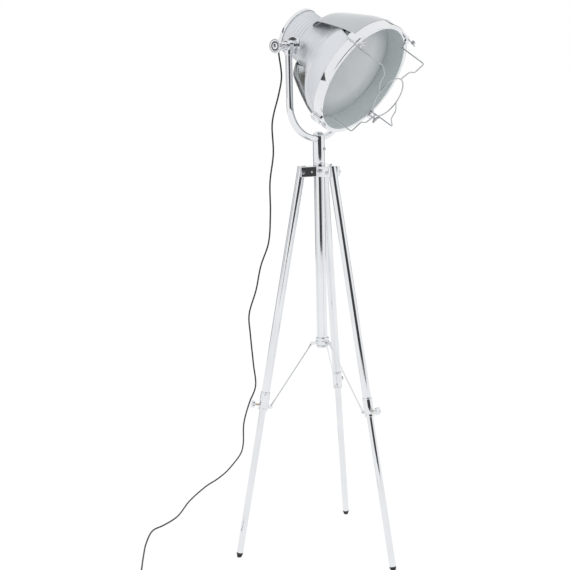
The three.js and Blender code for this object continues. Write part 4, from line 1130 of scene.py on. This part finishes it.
def makeWingNut(name, place):
    start, half = wing["start"], wing["thickness"] / 2
    body = pipe(wing["radius"], clamp["bolt"] + fit, start, start + wing["length"], 28, 0.7)
    line = [(start + low, out) for out, low, high in wing["ear"]]
    line += [(start + high, out) for out, low, high in wing["ear"][::-1]]
    ears = []
    for side in (-1, 1):
        ears.append(loft([[(x, side * out, height) for height, out in line] for x in (-half, half)]))
    shape, nodes = moved(joined(body, *ears), move(clamp["boltOut"], 0, 0)), ("wing_nut_" + name,)
    makePiece("wingNut" + name, shape, place, "steel", "wing_" + name, nodes, bevel=0.5, sharp=35)


# Bent wire: straight runs with rounded corners
def bentLine(points, reach=6, steps=5):
    spots = [Vector(point) for point in points]
    line = [spots[0]]
    for before, here, after in zip(spots, spots[1:], spots[2:]):
        back, ahead = before - here, after - here
        start = here + back.normalized() * min(reach, back.length * 0.45)
        end = here + ahead.normalized() * min(reach, ahead.length * 0.45)
        for step in range(steps + 1):
            share = step / steps
            line.append(start.lerp(here, share).lerp(here.lerp(end, share), share))
    return [*line, spots[-1]]


def makeGuard():
    wire, hoop, corner, jog = guard["wire"], guard["hoop"], guard["corner"], guard["jog"]
    lie, front, middle = ring["front"] + fit + wire, ring["front"] + guard["depth"], (corner + hoop) / 2
    leave, cross = (middle + offset for offset in guard["jogEnds"])
    route = [(clamp["hook"] - fit, 0, lie), (guard["leg"], 0, lie), (corner, 0, front), (leave, 0, front)]
    route += [(cross, jog / 2, front), (hoop, jog, front)]
    parts = []
    for angle in clamp["angles"]:
        line = bentLine([around(out, angle + offset, height) for out, offset, height in route])
        parts.append(sweep(line, wire, sides["wire"]))
    circle = [around(hoop, 360 * k / guard["hoopSteps"], front) for k in range(guard["hoopSteps"])]
    parts.append(sweep(circle, wire, sides["wire"], True))
    headPiece("wireGuard", joined(*parts), "wire", "wire_guard", sharp=60)


makeStuds()
makeClamps()
makeGuard()
screwSeat = move(neckScrews["out"], 0, neckScrews["along"]) @ turn(neckScrews["tilt"], "Y")
headPiece("neckScrews", screwRow(neckScrews, screwSeat), "steel")
print("head: fittings made")


# Floor, lights, and the dark and grey cards that chrome mirrors, in metres
white = (1, 1, 1, 1)
stage = {"floorSize": 60, "worldTone": (0.97, 0.985, 1, 1), "worldLevel": 0.66}
stage.update({"floorTone": (0.86, 0.86, 0.86, 1), "floorGlow": 1.06, "floorShare": 0.9, "aim": (0, 0, 1.2)})
lights = {
    "keyLight": {"spot": (-2.6, -2.4, 3.4), "aim": stage["aim"], "size": (2.4, 2.4), "power": 42},
    "fillLight": {"spot": (2.8, -2.0, 1.8), "aim": (0, 0, 1.1), "size": (2, 2.4), "power": 20},
}
cards = {
    "darkCardFront": {"spot": (2.2, -5.4, 1.4), "size": (7.6, 7), "tone": 0.06},
    "darkCardRight": {"spot": (2.6, 4.4, 1.2), "size": (2.4, 6), "tone": 0.08},
    "darkCardLeft": {"spot": (-4.6, -1.4, 2), "size": (0.9, 1.7), "tone": 0.08},
    "greyCardLeft": {"spot": (-4.4, 2.6, 1.6), "size": (3, 6), "tone": 0.42},
}


# White where the camera, metal or glass sees it, and lit by its first shader for all else
def whiteWhenSeen(graph, lit, bright, share, end):
    seen = graph.node("ShaderNodeLightPath", output="Is Camera Ray")
    for ray in ("Is Glossy Ray", "Is Transmission Ray"):
        other = graph.node("ShaderNodeLightPath", output=ray)
        seen = graph.node("ShaderNodeMath", {"operation": "ADD", "use_clamp": True}, {0: seen, 1: other})
    mix = graph.node("ShaderNodeMixShader", {}, {0: seen * share, 1: lit, 2: bright})
    graph.feed(graph.tree.nodes[end].inputs[0], mix)


def makeWorld():
    world = bpy.data.worlds.new("studio")
    bpy.context.scene.world = world
    graph = Graph(world)
    graph.drop("Background")
    lit = graph.node("ShaderNodeBackground", {}, {0: stage["worldTone"], 1: stage["worldLevel"]})
    whiteWhenSeen(graph, lit, graph.node("ShaderNodeBackground", {}, {0: white, 1: 1}), 1, "World Output")


def panel(name, width, height):
    w, h = width / 2, height / 2
    data = bpy.data.meshes.new(name)
    data.from_pydata([(-w, -h, 0), (w, -h, 0), (w, h, 0), (-w, h, 0)], [], [(0, 1, 2, 3)])
    return linked(name, data)


def bareMaterial(name, made):
    material = bpy.data.materials.new(name)
    made.data.materials.append(material)
    graph = Graph(material)
    graph.drop("Principled BSDF")
    return graph


def aimed(made, light, axis):
    made.location = light["spot"]
    made.rotation_euler = (Vector(light["aim"]) - Vector(light["spot"])).to_track_quat(axis, "Y").to_euler()


def makeFloor():
    floor = panel("floor", stage["floorSize"], stage["floorSize"])
    graph = bareMaterial("paleFloor", floor)
    lit = graph.node("ShaderNodeBsdfDiffuse", {}, {0: stage["floorTone"]})
    bright = graph.node("ShaderNodeEmission", {}, {0: white, 1: stage["floorGlow"]})
    whiteWhenSeen(graph, lit, bright, stage["floorShare"], "Material Output")


def makeLight(name, light):
    data = bpy.data.lights.new(name, "AREA")
    data.shape, data.size, data.size_y = "RECTANGLE", *light["size"]
    data.energy = light["power"]
    made = linked(name, data)
    aimed(made, light, "-Z")
    made.visible_camera = made.visible_glossy = False


def makeCard(name, card):
    made = panel(name, *card["size"])
    aimed(made, {"aim": stage["aim"], **card}, "Z")
    graph = bareMaterial(name, made)
    tone = card["tone"]
    glow = graph.node("ShaderNodeEmission", {}, {0: (tone, tone * 1.02, tone * 1.06, 1)})
    graph.feed(graph.tree.nodes["Material Output"].inputs[0], glow)
    made.visible_camera = made.visible_diffuse = made.visible_transmission = made.visible_shadow = False


makeWorld()
makeFloor()
for name, light in lights.items():
    makeLight(name, light)
for name, card in cards.items():
    makeCard(name, card)
print("stage: lit")

bpy.context.scene.view_settings.view_transform = "Standard"

print("pieces: done")
